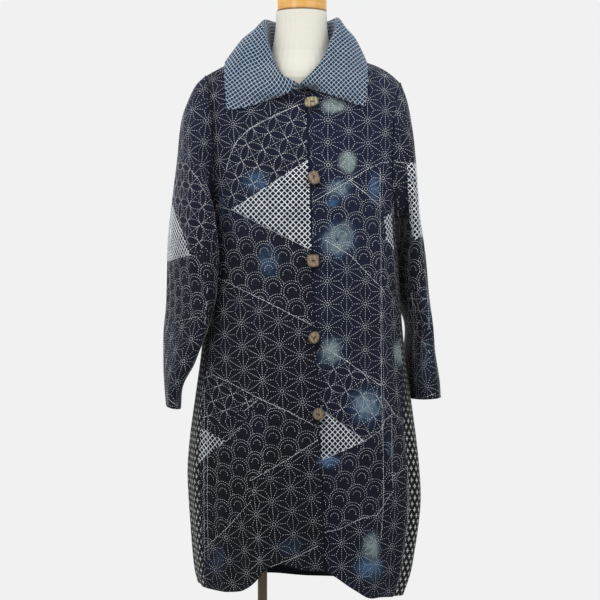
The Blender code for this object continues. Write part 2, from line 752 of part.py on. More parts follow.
def wall(name, outer, inner, material, collection, tube=False):
    """Joins an outer and an inner sheet of points into one closed wall, with rims at its edges."""
    height, width = outer.shape[:2]
    index = np.arange(height * width).reshape(height, width)
    if tube:
        index = np.concatenate([index, index[:, :1]], axis=1)
    behind = index + height * width

    def quads(a, b, c, d):
        return np.stack([a.ravel(), b.ravel(), c.ravel(), d.ravel()], axis=1)

    faces = [
        quads(index[:-1, :-1], index[:-1, 1:], index[1:, 1:], index[1:, :-1]),
        quads(behind[:-1, :-1], behind[1:, :-1], behind[1:, 1:], behind[:-1, 1:]),
        quads(index[0, :-1], behind[0, :-1], behind[0, 1:], index[0, 1:]),
        quads(index[-1, :-1], index[-1, 1:], behind[-1, 1:], behind[-1, :-1]),
    ]
    if not tube:
        faces.append(quads(index[:-1, 0], index[1:, 0], behind[1:, 0], behind[:-1, 0]))
        faces.append(quads(index[:-1, -1], behind[:-1, -1], behind[1:, -1], index[1:, -1]))
    points = np.concatenate([outer.reshape(-1, 3), inner.reshape(-1, 3)])
    mesh = bpy.data.meshes.new(name)
    mesh.from_pydata(points.tolist(), [], np.concatenate(faces).tolist())
    face_out(mesh)
    mesh.shade_smooth()
    mesh.set_sharp_from_angle(angle=SMOOTH_ANGLE)
    return add_object(name, mesh, material, collection)


def face_out(mesh):
    """Turns all faces outwards."""
    work = bmesh.new()
    work.from_mesh(mesh)
    bmesh.ops.recalc_face_normals(work, faces=work.faces)
    work.to_mesh(mesh)
    work.free()


def finish_material(name, colour, roughness, metallic=0.0):
    material = bpy.data.materials.new(name)
    material.use_nodes = True
    shader = material.node_tree.nodes["Principled BSDF"]
    shader.inputs["Base Color"].default_value = (*colour, 1.0)
    shader.inputs["Roughness"].default_value = roughness
    shader.inputs["Metallic"].default_value = metallic
    material.diffuse_color = (*colour, 1.0)
    return material


def button(number, material, collection):
    """A whittled button: a rounded pentagon with a softened rim, flat against the coat."""
    x, z = BUTTONS[number]
    work = bmesh.new()
    bmesh.ops.create_cone(
        work,
        cap_ends=True,
        segments=BUTTON_SEGMENTS,
        radius1=1,
        radius2=1,
        depth=BUTTON_THICKNESS,
    )
    for vert in work.verts:
        around = math.atan2(vert.co.y, vert.co.x) + BUTTON_TURN * number
        size = BUTTON_RADIUS * (1 + BUTTON_WAVE * math.cos(BUTTON_CORNERS * around))
        vert.co.x *= size
        vert.co.y *= size * BUTTON_HEIGHT_SHARE
    rims = [
        edge for edge in work.edges if abs(edge.verts[0].co.z - edge.verts[1].co.z) < FINE_STEP
    ]
    bmesh.ops.bevel(work, geom=rims, offset=BUTTON_ROUNDING, segments=2, affect="EDGES")
    mesh = bpy.data.meshes.new(f"button_{number + 1}")
    work.to_mesh(mesh)
    work.free()
    mesh.shade_smooth()
    mesh.set_sharp_from_angle(angle=SMOOTH_ANGLE)
    item = add_object(f"button_{number + 1}", mesh, material, collection)
    place, lean = on_lap(x, z)
    lift = LOOP_CORD + 2 * CORD_GAP + BUTTON_THICKNESS / 2
    item.location = (place[0], place[1] - lift, place[2])
    item.rotation_euler = (math.pi / 2 + lean, 0, 0)
    return item


def on_lap(x, z):
    """The place on the lapped front's face at x and z, and how far it leans back there."""
    rise = (z - HEM_LEVEL) / (CHEST_LEVEL - HEM_LEVEL)
    angle = float(angle_of(x, rise))
    if z > CHEST_LEVEL:
        rise = float(rise_at(z, angle))
    else:
        hem = float(body(angle, 0.0)[2])
        rise = (z - hem) / (CHEST_LEVEL - hem)
    place = body(angle, rise)
    normal = body_normal(angle, rise)
    return [float(v) for v in place], -math.asin(float(normal[2]))


def button_loop(number, material, collection):
    """A cord loop from under the lapped edge, round the button's stalk and back."""
    x, z = BUTTONS[number]
    place, lean = on_lap(x, z)
    turn = np.radians(np.linspace(-LOOP_REACH, LOOP_REACH, LOOP_POINTS))
    along = LOOP_RADIUS * np.cos(turn)
    upward = LOOP_RADIUS * np.sin(turn)
    tail = np.array([along[0] - LOOP_ROOT])
    along = np.concatenate([tail, along, tail])
    upward = np.concatenate([[upward[0]], upward, [upward[-1]]])
    curve = bpy.data.curves.new(f"button_loop_{number + 1}", "CURVE")
    curve.dimensions = "3D"
    spline = curve.splines.new("POLY")
    spline.points.add(len(along) - 1)
    for point, a, u in zip(spline.points, along, upward):
        drop = front_depth(np.array(x + a), np.array(z)) - front_depth(np.array(x), np.array(z))
        point.co = (float(a), float(u), float(drop), 1.0)
    curve.bevel_depth = LOOP_CORD / 2
    curve.bevel_resolution = 1
    curve.use_fill_caps = True
    curve.materials.append(material)
    item = bpy.data.objects.new(f"button_loop_{number + 1}", curve)
    collection.objects.link(item)
    item.location = (place[0], place[1] - CORD_GAP - LOOP_CORD / 2, place[2])
    item.rotation_euler = (math.pi / 2 + lean, 0, 0)
    return item


def turned(name, profile, material, collection, x=0.0, y=0.0):
    """A turned piece: its outline, from the top of the axis down the outside, on a Screw."""
    mesh = bpy.data.meshes.new(name)
    points = [(radius, 0.0, height) for radius, height in profile]
    mesh.from_pydata(points, [(k, k + 1) for k in range(len(points) - 1)], [])
    item = add_object(name, mesh, material, collection)
    screw = item.modifiers.new("Turn", "SCREW")
    screw.steps = TURNED_SEGMENTS
    screw.render_steps = TURNED_SEGMENTS
    screw.use_merge_vertices = True
    screw.merge_threshold = FINE_STEP
    screw.use_smooth_shade = True
    item.location = (x, y, 0)
    return item


def form_shoulder(x):
    """The form's shoulder line, just under the coat's."""
    reach = np.abs(x)
    coat = by_side(x, SHOULDER, reach)
    at_neck = ease((FORM_DIP_REACH - reach) / FORM_DIP_WIDTH)
    return coat - CLOTH - FORM_SHOULDER_GAP - FORM_NECK_DIP * at_neck


def form_body(material, collection):
    """The form's torso: rings like the coat's, closed along the shoulders and under the hips."""
    below = np.linspace(0, 1, 13)
    over = np.linspace(1, 2, 9)[1:]
    rise = np.concatenate([below, over])[:, None]
    angle = np.linspace(-np.pi, np.pi, FORM_COLUMNS + 1)[None, :-1]
    forward, across = squircle(angle, FORM_SQUARENESS)
    flat, up = squircle(np.clip(rise - 1, 0, 1) * np.pi / 2, roll_squareness(forward > 0))
    low = FORM_BOTTOM + np.minimum(rise, 1) * (CHEST_LEVEL - FORM_BOTTOM) + 0 * angle
    high = low
    for _ in range(3):
        x = across * read(FORM, 1, high)
        high = low + (form_shoulder(x) - low) * np.where(rise > 1, up, 0)
    depth = np.where(forward > 0, read(FORM, 2, high), read(FORM, 3, high))
    y = -depth * forward * flat
    points = np.stack([x, y, high], axis=-1)
    count = points.shape[0] * FORM_COLUMNS
    index = np.arange(count).reshape(-1, FORM_COLUMNS)
    index = np.concatenate([index, index[:, :1]], axis=1)
    corners = [index[:-1, :-1], index[:-1, 1:], index[1:, 1:], index[1:, :-1]]
    faces = np.stack([corner.ravel() for corner in corners], axis=1).tolist()
    faces.append(index[0, :-1][::-1].tolist())
    mesh = bpy.data.meshes.new("form_body")
    mesh.from_pydata(points.reshape(-1, 3).tolist(), [], faces)
    work = bmesh.new()
    work.from_mesh(mesh)
    bmesh.ops.remove_doubles(work, verts=work.verts, dist=FINE_STEP)
    bmesh.ops.dissolve_degenerate(work, edges=work.edges, dist=FINE_STEP)
    bmesh.ops.recalc_face_normals(work, faces=work.faces)
    work.to_mesh(mesh)
    work.free()
    mesh.shade_smooth()
    mesh.set_sharp_from_angle(angle=SMOOTH_ANGLE)
    return add_object("form_body", mesh, material, collection)


def build():
    clear_scene()
    collection = bpy.data.collections.new("sashiko_coat_on_dress_form")
    bpy.context.scene.collection.children.link(collection)
    helpers = bpy.data.collections.new("cutters")
    bpy.context.scene.collection.children.link(helpers)

    indigo = finish_material("indigo sashiko cotton", (0.010, 0.014, 0.035), 0.85)
    dotted = finish_material("black dotted cotton", (0.012, 0.012, 0.014), 0.85)
    blue = finish_material("pale blue dotted cotton", (0.16, 0.26, 0.38), 0.85)
    wood = finish_material("whittled wood", (0.30, 0.22, 0.15), 0.5)
    cord = finish_material("dark cotton cord", (0.012, 0.012, 0.016), 0.8)
    cream = finish_material("cream form cover", (0.78, 0.76, 0.68), 0.75)
    cap_wood = finish_material("turned orange wood", (0.62, 0.33, 0.11), 0.35)
    steel = finish_material("brushed steel", (0.42, 0.38, 0.34), 0.4, 1.0)

    wall("front_right", *front_right(), indigo, collection)
    wall("front_left", *front_left(), indigo, collection)
    wall("back", *back(), indigo, collection)
    for side, name in ((-1, "right"), (1, "left")):
        wall(f"side_panel_{name}", *side_panel(side), dotted, collection)
        wall(f"sleeve_{name}", *sleeve(side), indigo, collection, tube=True)
    wall("collar", *collar(), blue, collection)
    for number in range(len(BUTTONS)):
        button(number, wood, collection)
        button_loop(number, cord, collection)

    torso = form_body(cream, collection)
    neck = turned("form_neck_join", neck_profile(), cream, helpers, FORM_CENTRE)
    neck.hide_render = True
    neck.display_type = "WIRE"
    join = torso.modifiers.new("Neck", "BOOLEAN")
    join.operation = "UNION"
    join.object = neck
    turned("neck_cap", cap_profile(), cap_wood, collection, FORM_CENTRE)
    turned("pole", pole_profile(), steel, collection, POLE_X)
    turned("base", base_profile(), steel, collection, BASE_X)


def neck_profile():
    heights = column(NECK, 0)
    fine = np.linspace(heights[-1], heights[0], 14)
    radii = smooth(fine, heights, column(NECK, 1))
    return [(0, heights[-1]), *zip(radii.tolist(), fine.tolist()), (0, heights[0])]


def cap_profile():
    bottom = NECK[-1][0] + SEAM_GAP
    top = bottom + CAP_HEIGHT
    across, middle = CAP_RADIUS - CAP_ROUNDING, top - CAP_ROUNDING
    crown = []
    for degrees in (90, 65, 40, 20, 0):
        out, up = math.cos(math.radians(degrees)), math.sin(math.radians(degrees))
        crown.append((across + CAP_ROUNDING * out, middle + CAP_ROUNDING * up))
    foot = [(CAP_RADIUS, bottom + EDGE_BREAK), (CAP_RADIUS - EDGE_BREAK, bottom)]
    return [(0, top + CAP_CROWN), *crown, *foot, (0, bottom)]


def pole_profile():
    top = FORM_BOTTOM - SEAM_GAP
    bottom = BASE_HEIGHT + SEAM_GAP
    return [(0, top), (POLE_RADIUS, top), (POLE_RADIUS, bottom), (0, bottom)]


def base_profile():
    slope = BASE_ROUNDING * 0.3
    return [
        (0, BASE_HEIGHT),
        (BASE_RADIUS - BASE_ROUNDING, BASE_HEIGHT),
        (BASE_RADIUS - slope, BASE_HEIGHT - slope),
        (BASE_RADIUS, BASE_HEIGHT - BASE_ROUNDING),
        (BASE_RADIUS, EDGE_BREAK),
        (BASE_RADIUS - EDGE_BREAK, 0),
        (0, 0),
    ]


build()
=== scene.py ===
import json
import math

import bpy
import numpy as np
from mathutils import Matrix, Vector

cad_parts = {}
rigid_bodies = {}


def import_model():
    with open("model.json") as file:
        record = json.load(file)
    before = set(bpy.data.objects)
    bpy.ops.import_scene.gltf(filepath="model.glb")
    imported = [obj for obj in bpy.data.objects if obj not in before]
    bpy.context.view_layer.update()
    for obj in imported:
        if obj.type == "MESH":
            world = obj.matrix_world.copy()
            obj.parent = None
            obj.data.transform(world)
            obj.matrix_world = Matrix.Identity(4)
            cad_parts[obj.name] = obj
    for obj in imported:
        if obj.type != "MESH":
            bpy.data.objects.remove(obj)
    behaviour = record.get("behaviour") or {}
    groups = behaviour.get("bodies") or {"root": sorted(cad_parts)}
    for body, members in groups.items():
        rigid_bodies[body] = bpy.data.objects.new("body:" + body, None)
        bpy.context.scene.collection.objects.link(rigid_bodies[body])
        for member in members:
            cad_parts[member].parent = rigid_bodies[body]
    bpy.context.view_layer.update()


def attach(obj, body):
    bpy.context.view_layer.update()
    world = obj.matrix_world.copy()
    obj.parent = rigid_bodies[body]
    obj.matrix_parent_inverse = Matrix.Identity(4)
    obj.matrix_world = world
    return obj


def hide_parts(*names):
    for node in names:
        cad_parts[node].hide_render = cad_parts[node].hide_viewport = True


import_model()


# Camera, light and floor. The camera looks level at the coat from 3.5 m, as the photograph does.
# A pale disc is the floor, and soft panels of light stand in front of the coat and above it.
CAMERA_PLACE = (-0.0057, -3.5, 0.984)
CAMERA_LENS = 110.53
# Soft lamps: place, what they are aimed at, size, power
LAMPS = (
    ("key", (-2.2, -3.4, 3.0), (0.0, 0.0, 1.0), 2.2, 40),
    ("fill", (2.6, -3.0, 1.9), (0.0, 0.0, 1.0), 2.4, 22),
    ("top", (0.0, 0.4, 3.4), (0.0, 0.0, 1.2), 2.0, 16),
    ("rear", (-1.2, 3.4, 2.2), (0.0, 0.0, 1.0), 2.4, 22),
)
FLOOR_RADIUS = 2.2
FLOOR_CORNERS = 96


def linear(hexcode):
    """A hex colour as the render's linear values."""
    channels = [int(hexcode[k : k + 2], 16) / 255 for k in (1, 3, 5)]
    return tuple(c / 12.92 if c <= 0.04045 else ((c + 0.055) / 1.055) ** 2.4 for c in channels)


def add(tree, kind, inputs=None, **settings):
    """Adds a shader node with its settings, its values and its links."""
    item = tree.nodes.new(kind)
    for key, value in settings.items():
        setattr(item, key, value)
    for key, value in (inputs or {}).items():
        if isinstance(value, bpy.types.NodeSocket):
            tree.links.new(value, item.inputs[key])
        else:
            item.inputs[key].default_value = value
    return item


def new_material(name, roughness, metallic=0.0, **more):
    """A material and its tree, ready for its coordinates, colour and bump."""
    material = bpy.data.materials.new(name)
    material.use_nodes = True
    shader = material.node_tree.nodes["Principled BSDF"]
    shader.inputs["Roughness"].default_value = roughness
    shader.inputs["Metallic"].default_value = metallic
    for key, value in more.items():
        shader.inputs[key.replace("_", " ")].default_value = value
    return material, material.node_tree


def in_object(tree):
    """The shader's place in the object's own metres."""
    return add(tree, "ShaderNodeTexCoord").outputs["Object"]


def noise(tree, where, scale, detail, **more):
    """Clouds of noise, mostly between 0.3 and 0.7."""
    inputs = {"Vector": where, "Scale": scale, "Detail": detail, **more}
    return add(tree, "ShaderNodeTexNoise", inputs).outputs["Fac"]


def cover(tree, colour, height=None, strength=0.5, distance=0.0004):
    """Joins a colour, and a bump where there is a height, to the tree's shader."""
    shader = tree.nodes["Principled BSDF"]
    tree.links.new(colour, shader.inputs["Base Color"])
    if height is not None:
        bump = add(tree, "ShaderNodeBump", {"Height": height, "Strength": strength, "Distance": distance})
        tree.links.new(bump.outputs[0], shader.inputs["Normal"])


def mix(tree, factor, first, second):
    """A blend of two colours, each a hex value, three linear numbers or another node's colour."""
    item = add(tree, "ShaderNodeMix", data_type="RGBA")
    for index, value in ((0, factor), (6, first), (7, second)):
        if isinstance(value, bpy.types.NodeSocket):
            tree.links.new(value, item.inputs[index])
        elif index:
            value = linear(value) if isinstance(value, str) else value
            item.inputs[index].default_value = (*value, 1.0)
        else:
            item.inputs[index].default_value = value
    return item.outputs[2]


def new_mesh(name, points, faces, material, smooth=True):
    """An object at the origin from arrays of points and faces."""
    mesh = bpy.data.meshes.new(name)
    mesh.vertices.add(len(points))
    mesh.vertices.foreach_set("co", np.ascontiguousarray(points, np.float32).ravel())
    sides = faces.shape[1]
    mesh.loops.add(faces.size)
    mesh.loops.foreach_set("vertex_index", np.ascontiguousarray(faces, np.int32).ravel())
    mesh.polygons.add(len(faces))
    mesh.polygons.foreach_set("loop_start", np.arange(0, faces.size, sides, dtype=np.int32))
    mesh.update(calc_edges=True)
    mesh.materials.append(material)
    if smooth:
        mesh.shade_smooth()
    item = bpy.data.objects.new(name, mesh)
    bpy.context.scene.collection.objects.link(item)
    return item


def disc(name, radius, material):
    """A flat round plate on the ground."""
    turn = np.linspace(0, 2 * np.pi, FLOOR_CORNERS + 1)[:-1]
    rim = np.stack([np.cos(turn) * radius, np.sin(turn) * radius, 0 * turn], axis=1)
    points = np.concatenate([[[0, 0, 0]], rim])
    k = np.arange(FLOOR_CORNERS)
    faces = np.stack([0 * k, k + 1, (k + 1) % FLOOR_CORNERS + 1], axis=1)
    return new_mesh(name, points, faces, material)


def set_stage():
    """The camera, the pale surroundings, the lamps and the floor."""
    scene = bpy.context.scene
    camera = bpy.data.objects.new("camera", bpy.data.cameras.new("camera"))
    scene.collection.objects.link(camera)
    camera.location = CAMERA_PLACE
    camera.rotation_euler = (math.pi / 2, 0, 0)
    camera.data.sensor_width = 36
    camera.data.lens = CAMERA_LENS
    scene.camera = camera
    scene.view_settings.view_transform = "Standard"
    world = bpy.data.worlds.new("studio")
    scene.world = world
    world.use_nodes = True
    backdrop = world.node_tree.nodes["Background"]
    backdrop.inputs["Color"].default_value = (*linear("#f1f1f2"), 1)
    backdrop.inputs["Strength"].default_value = 1.0
    for name, place, aim, size, power in LAMPS:
        light = bpy.data.lights.new(name, "AREA")
        light.shape = "DISK"
        light.size = size
        light.energy = power
        item = bpy.data.objects.new(name, light)
        scene.collection.objects.link(item)
        item.location = place
        toward = Vector(aim) - Vector(place)
        item.rotation_euler = toward.to_track_quat("-Z", "Y").to_euler()
    material, tree = new_material("floor", 0.8)
    cover(tree, mix(tree, noise(tree, in_object(tree), 2.5, 6.0), "#d8d6d3", "#e2e0dd"))
    disc("floor", FLOOR_RADIUS, material)


set_stage()


# The coat's body: two fronts, a back and two side panels of cotton, sewn along the sides and the
# shoulders. All are thin shells on one surface, worked out from tables of widths and depths, and
# their creases are soft ridges and hollows placed one by one.

# Cloth walls and the gaps between pieces
CLOTH = 0.002
SEAM_GAP = 0.0003
LAYER_GAP = 0.0012

# Levels of the coat body
HEM_LEVEL = 0.450
ARMPIT_LEVEL = 1.142
CHEST_LEVEL = 1.200
SHOULDER_LEVEL = 1.450

# How square the body's rings and the shoulder's roll are: 2 is an ellipse
BODY_SQUARENESS = 2.4
FRONT_ROLL_SQUARENESS = 2.2
BACK_ROLL_SQUARENESS = 3.2

# Half widths and depths of the body: height, wearer's right, wearer's left, front depth, back depth
BODY = (
    (0.430, 0.189, 0.188, 0.146, 0.136),
    (0.473, 0.201, 0.203, 0.152, 0.143),
    (0.515, 0.206, 0.211, 0.156, 0.148),
    (0.566, 0.210, 0.219, 0.159, 0.151),
    (0.608, 0.213, 0.223, 0.161, 0.152),
    (0.665, 0.216, 0.221, 0.160, 0.150),
    (0.724, 0.213, 0.215, 0.155, 0.145),
    (0.794, 0.205, 0.205, 0.148, 0.135),
    (0.876, 0.194, 0.194, 0.142, 0.127),
    (0.960, 0.186, 0.186, 0.137, 0.120),
    (1.050, 0.180, 0.181, 0.132, 0.115),
    (1.142, 0.177, 0.178, 0.128, 0.112),
    (1.200, 0.189, 0.189, 0.126, 0.111),
    (1.270, 0.200, 0.200, 0.125, 0.110),
    (1.450, 0.203, 0.203, 0.124, 0.108),
)

# Height of the hem round the body: degrees from centre front (plus is the wearer's left), height
HEM = (
    (-180, 0.442),
    (-140, 0.448),
    (-90, 0.451),
    (-60, 0.450),
    (-42, 0.448),
    (-30, 0.456),
    (-24, 0.470),
    (-19, 0.492),
    (0, 0.489),
    (14, 0.484),
    (26, 0.456),
    (34, 0.440),
    (45, 0.437),
    (90, 0.430),
    (140, 0.436),
    (180, 0.442),
)

# Shoulder line: distance from the centre, height on the wearer's right, on the wearer's left
SHOULDER = (
    (0.000, 1.4540, 1.4540),
    (0.066, 1.4520, 1.4500),
    (0.100, 1.4440, 1.4400),
    (0.145, 1.4295, 1.4250),
    (0.165, 1.4200, 1.4130),
    (0.184, 1.4090, 1.3960),
    (0.200, 1.3980, 1.3800),
)
NECK_HALF_WIDTH = 0.066
FRONT_NECK_DROP = 0.081
BACK_NECK_DROP = 0.016
# Corners of the neckline: degrees round it from the centre front, and from the centre back
FRONT_NECK_CORNERS = tuple(range(90, 35, -6))
BACK_NECK_CORNERS = tuple(range(90, -1, -6))

# Armhole edge above the armpit: height, distance from the centre
ARMHOLE = (
    (1.142, 0.1690),
    (1.200, 0.1660),
    (1.270, 0.1665),
    (1.345, 0.1720),
    (1.400, 0.1830),
)
ARMHOLE_TOP = 1.402
ARMHOLE_BLEND_TOP = 1.240
ARMHOLE_BLEND = 0.100
# Side seams below the armpit: height, share of the half width, in front and behind
SIDE_SEAM = (
    (0.430, 0.900, 0.880),
    (0.565, 0.880, 0.870),
    (0.690, 0.875, 0.865),
    (0.760, 0.885, 0.875),
    (0.840, 0.930, 0.885),
    (1.000, 0.962, 0.910),
    (1.142, 0.968, 0.930),
)
# Edge of the lapped front: height, distance from the centre, plus is the wearer's left
FRONT_EDGE = (
    (0.440, 0.0400),
    (0.512, 0.0381),
    (0.621, 0.0345),
    (0.777, 0.0281),
    (0.939, 0.0200),
    (1.055, 0.0154),
    (1.209, 0.0109),
    (1.349, 0.0064),
    (1.460, 0.0030),
)
UNDERLAP = 0.020
UNDERLAP_FLAT = 0.008
UNDERLAP_RISE = 0.020

# Folds of the body: degrees from centre front at the hem and at the top, lowest and highest
# point, how far the fold stands out (minus is a hollow), half width in degrees
BODY_FOLDS = (
    (0, 0, 0.40, 0.74, -0.021, 17),
    (-25, -22, 0.40, 0.80, 0.011, 8),
    (33, 27, 0.40, 0.68, 0.009, 11),
    (41, 47, 0.50, 1.17, 0.007, 7),
    (-62, -56, 0.40, 1.00, 0.006, 10),
    (70, 62, 0.40, 0.98, 0.005, 9),
    (118, 124, 0.46, 1.12, 0.006, 9),
    (150, 157, 0.40, 1.16, 0.008, 10),
    (178, 180, 0.40, 0.82, -0.010, 13),
    (-163, -158, 0.40, 1.06, 0.009, 11),
    (-128, -134, 0.44, 0.94, 0.006, 9),
    (-42, -37, 0.42, 0.92, 0.0035, 4),
    (-13, -16, 0.62, 1.10, -0.0030, 4),
    (20, 16, 0.44, 0.76, -0.0035, 4),
    (54, 50, 0.44, 1.02, 0.0040, 4),
    (60, 58, 0.44, 0.90, -0.0035, 4),
    (133, 129, 0.50, 1.20, -0.0040, 5),
    (166, 171, 0.60, 1.28, 0.0040, 5),
    (-146, -150, 0.50, 1.24, -0.0040, 5),
    (-173, -168, 0.55, 1.18, 0.0040, 5),
    (-82, -78, 0.44, 0.86, 0.0040, 5),
    (88, 84, 0.44, 0.80, -0.0040, 5),
)
# How steeply a fold falls off sideways, fades out at its top and, if above the hem, starts
FOLD_FALL_OFF = 1.4
FOLD_FADE = 1.6
FOLD_START = 5

# Numbers of spans that the shells are made with, and small steps for slopes and limits
ROWS_BELOW_ARMPIT = 140
ROWS_TO_CHEST = 12
ROWS_OVER_SHOULDER = 56
SIDE_SPANS = 30
SHOULDER_SPANS = 34
LAP_SPANS = (4, 8, 1)
FINE_STEP = 0.00001
SLOPE_STEP = 0.0001


def column(table, index):
    """One column of a table of numbers."""
    return np.array([row[index] for row in table], float)


def cubic(t, start, end, slope_start, slope_end):
    """The point at share t of a cubic piece between two values with their slopes over the piece."""
    first = (1 + 2 * t) * (1 - t) ** 2 * start + t * (1 - t) ** 2 * slope_start
    return first + (t**2 * (3 - 2 * t) * end - t**2 * (1 - t) * slope_end)


def smooth(at, stations, values):
    """A line through the stations of a table, a cubic piece between each two, level past its ends."""
    slopes = np.gradient(values, stations)
    at = np.clip(at, stations[0], stations[-1])
    k = np.clip(np.searchsorted(stations, at) - 1, 0, len(stations) - 2)
    run = stations[k + 1] - stations[k]
    t = (at - stations[k]) / run
    return cubic(t, values[k], values[k + 1], run * slopes[k], run * slopes[k + 1])


def read(table, index, at):
    """The value of one column of a table where its first column is at."""
    return smooth(at, column(table, 0), column(table, index))


def ease(t):
    """0 to 1 as t goes from 0 to 1, slow at both ends."""
    t = np.clip(t, 0, 1)
    return t * t * (3 - 2 * t)


def squircle(angle, squareness):
    """The cosine-like and sine-like shares of a rounded square of radius 1."""
    c, s = np.cos(angle), np.sin(angle)
    size = (np.abs(c) ** squareness + np.abs(s) ** squareness) ** (-1 / squareness)
    return c * size, s * size


def other_share(share, squareness):
    """The cosine-like share that goes with a sine-like one, or the other way round."""
    return (1 - np.clip(np.abs(share), 0, 1) ** squareness) ** (1 / squareness)


def squircle_angle(share, squareness):
    """The angle at which the sine-like share has the given size."""
    return np.arctan2(np.clip(share, -1, 1), other_share(share, squareness))


def unit(vectors):
    """The same directions with a length of 1."""
    return vectors / np.maximum(np.linalg.norm(vectors, axis=-1, keepdims=True), 1e-12)


def by_side(x, table, at):
    """A value from the wearer's right column where x is below 0 and from the left one elsewhere."""
    return np.where(x < 0, read(table, 1, at), read(table, 2, at))


def fold_profile(degrees, centre, half_width):
    """1 on the ridge of a fold, falling off to 0 on both sides of it."""
    off = (degrees - centre + 180) % 360 - 180
    return np.exp(-FOLD_FALL_OFF * (off / half_width) ** 2)


def fold_rise(angle, height):
    """How far the body's folds stand out at an angle and a height: each is a soft ridge or hollow."""
    degrees = np.degrees(angle)
    total = np.zeros(np.broadcast(angle, height).shape)
    for at_hem, at_top, low, high, rise, half_width in BODY_FOLDS:
        way = np.clip((height - low) / (high - low), 0, 1)
        across = fold_profile(degrees, at_hem + (at_top - at_hem) * way, half_width)
        starts = ease(way * FOLD_START) if low > HEM_LEVEL else 1
        total = total + rise * across * ease((1 - way) * FOLD_FADE) * starts
    return total


def roll_squareness(in_front):
    """How square the shoulder's roll is, in front or behind."""
    return np.where(in_front, FRONT_ROLL_SQUARENESS, BACK_ROLL_SQUARENESS)


def body(angle, rise):
    """A point of the coat body's outer face.

    angle goes round from the centre front, plus to the wearer's left. rise goes from 0 at the hem
    to 1 at chest level, and on to 2 on the shoulder line, where front and back meet.
    """
    angle, rise = np.broadcast_arrays((angle + np.pi) % (2 * np.pi) - np.pi, rise)
    side = np.where(angle < 0, -1.0, 1.0)
    forward, across = squircle(np.abs(angle), BODY_SQUARENESS)
    flat, up = squircle(np.clip(rise - 1, 0, 1) * np.pi / 2, roll_squareness(forward > 0))
    hem = read(HEM, 1, np.degrees(angle))
    low = hem + np.minimum(rise, 1) * (CHEST_LEVEL - hem)
    high = low
    for _ in range(3):
        x = side * across * by_side(side, BODY, high)
        top = by_side(x, SHOULDER, np.abs(x))
        high = low + (top - low) * np.where(rise > 1, up, 0)
    depth = np.where(forward > 0, read(BODY, 3, high), read(BODY, 4, high))
    y = -depth * forward * flat
    out = fold_rise(angle, high)
    return np.stack([x + out * np.sin(angle), y - out * np.cos(angle), high], axis=-1)


def body_normal(angle, rise):
    """The outward direction of the body's face, from its slopes both ways."""
    top = np.minimum(rise + SLOPE_STEP, 2)
    low = top - 2 * SLOPE_STEP
    along = body(angle + SLOPE_STEP, rise) - body(angle - SLOPE_STEP, rise)
    upward = body(angle, top) - body(angle, low)
    return unit(np.cross(along, upward))


def level(rise, behind=False):
    """The usual height of a row of the body, from which its seam lines are read."""
    low = HEM_LEVEL + np.minimum(rise, 1) * (CHEST_LEVEL - HEM_LEVEL)
    _, up = squircle(np.clip(rise - 1, 0, 1) * np.pi / 2, roll_squareness(not behind))
    return np.where(rise > 1, CHEST_LEVEL + (ARMHOLE_TOP - CHEST_LEVEL) * up, low)


def angle_of(x, rise):
    """The angle in front at which the body's face lies x from the centre."""
    width = by_side(x, BODY, level(rise))
    return squircle_angle(x / width, BODY_SQUARENESS)


def outer_angle(rise, side, behind):
    """The angle of a front's or the back's outer edge: the side seam, then the armhole."""
    z = level(rise, behind)
    width = by_side(side, BODY, z)
    seam, seam_at_armpit = (
        read(SIDE_SEAM, 2 if behind else 1, at) * by_side(side, BODY, at) for at in (z, ARMPIT_LEVEL)
    )
    blend = ease((ARMHOLE_BLEND_TOP - z) / ARMHOLE_BLEND)
    hole = read(ARMHOLE, 1, z) + (seam_at_armpit - ARMHOLE[0][1]) * blend
    x = np.where(z > ARMPIT_LEVEL + FINE_STEP, hole, seam)
    angle = squircle_angle(x / width, BODY_SQUARENESS)
    return side * (np.pi - angle if behind else angle)


def rise_at(height, angle):
    """How far up the shoulder's roll a height lies, on the column at an angle."""
    top = body(angle, 2.0)[..., 2]
    share = (height - CHEST_LEVEL) / (top - CHEST_LEVEL)
    turned_to = (np.asarray(angle) + np.pi) % (2 * np.pi) - np.pi
    squareness = roll_squareness(np.abs(turned_to) < np.pi / 2)
    return 1 + squircle_angle(share, squareness) * 2 / np.pi


def neck_rise(x, angle, behind):
    """Where a column ends at the top: on the neckline inside the neck's width, else on the shoulder."""
    drop = BACK_NECK_DROP if behind else FRONT_NECK_DROP
    share = np.clip(np.abs(x) / NECK_HALF_WIDTH, 0, 1)
    fall = drop * np.sqrt(1 - share**2)
    top = body(angle, 2.0)[..., 2]
    return np.where(share < 1, rise_at(top - fall - SEAM_GAP, angle), 2.0)


def rows():
    """The rise of each row of the walls, with one row at the armpit and one at the chest."""
    armpit = (ARMPIT_LEVEL - HEM_LEVEL) / (CHEST_LEVEL - HEM_LEVEL)
    below = np.linspace(0, armpit, ROWS_BELOW_ARMPIT + 1)
    to_chest = np.linspace(armpit, 1, ROWS_TO_CHEST + 1)[1:-1]
    over = np.linspace(1, 2, ROWS_OVER_SHOULDER + 1)
    return np.concatenate([below, to_chest, over])


def between(lines, spans):
    """Columns of angles between neighbouring lines, each pair parted into its number of spans."""
    columns = [lines[0]]
    for start, end, count in zip(lines[:-1], lines[1:], spans):
        columns += [start + (end - start) * k / count for k in range(1, count + 1)]
    return np.stack(columns, axis=1)


def gap_angle(angle, rise):
    """Half a seam's gap, as an angle."""
    chord = body(angle + SLOPE_STEP, rise) - body(angle - SLOPE_STEP, rise)
    return SEAM_GAP * SLOPE_STEP / np.linalg.norm(chord, axis=-1)


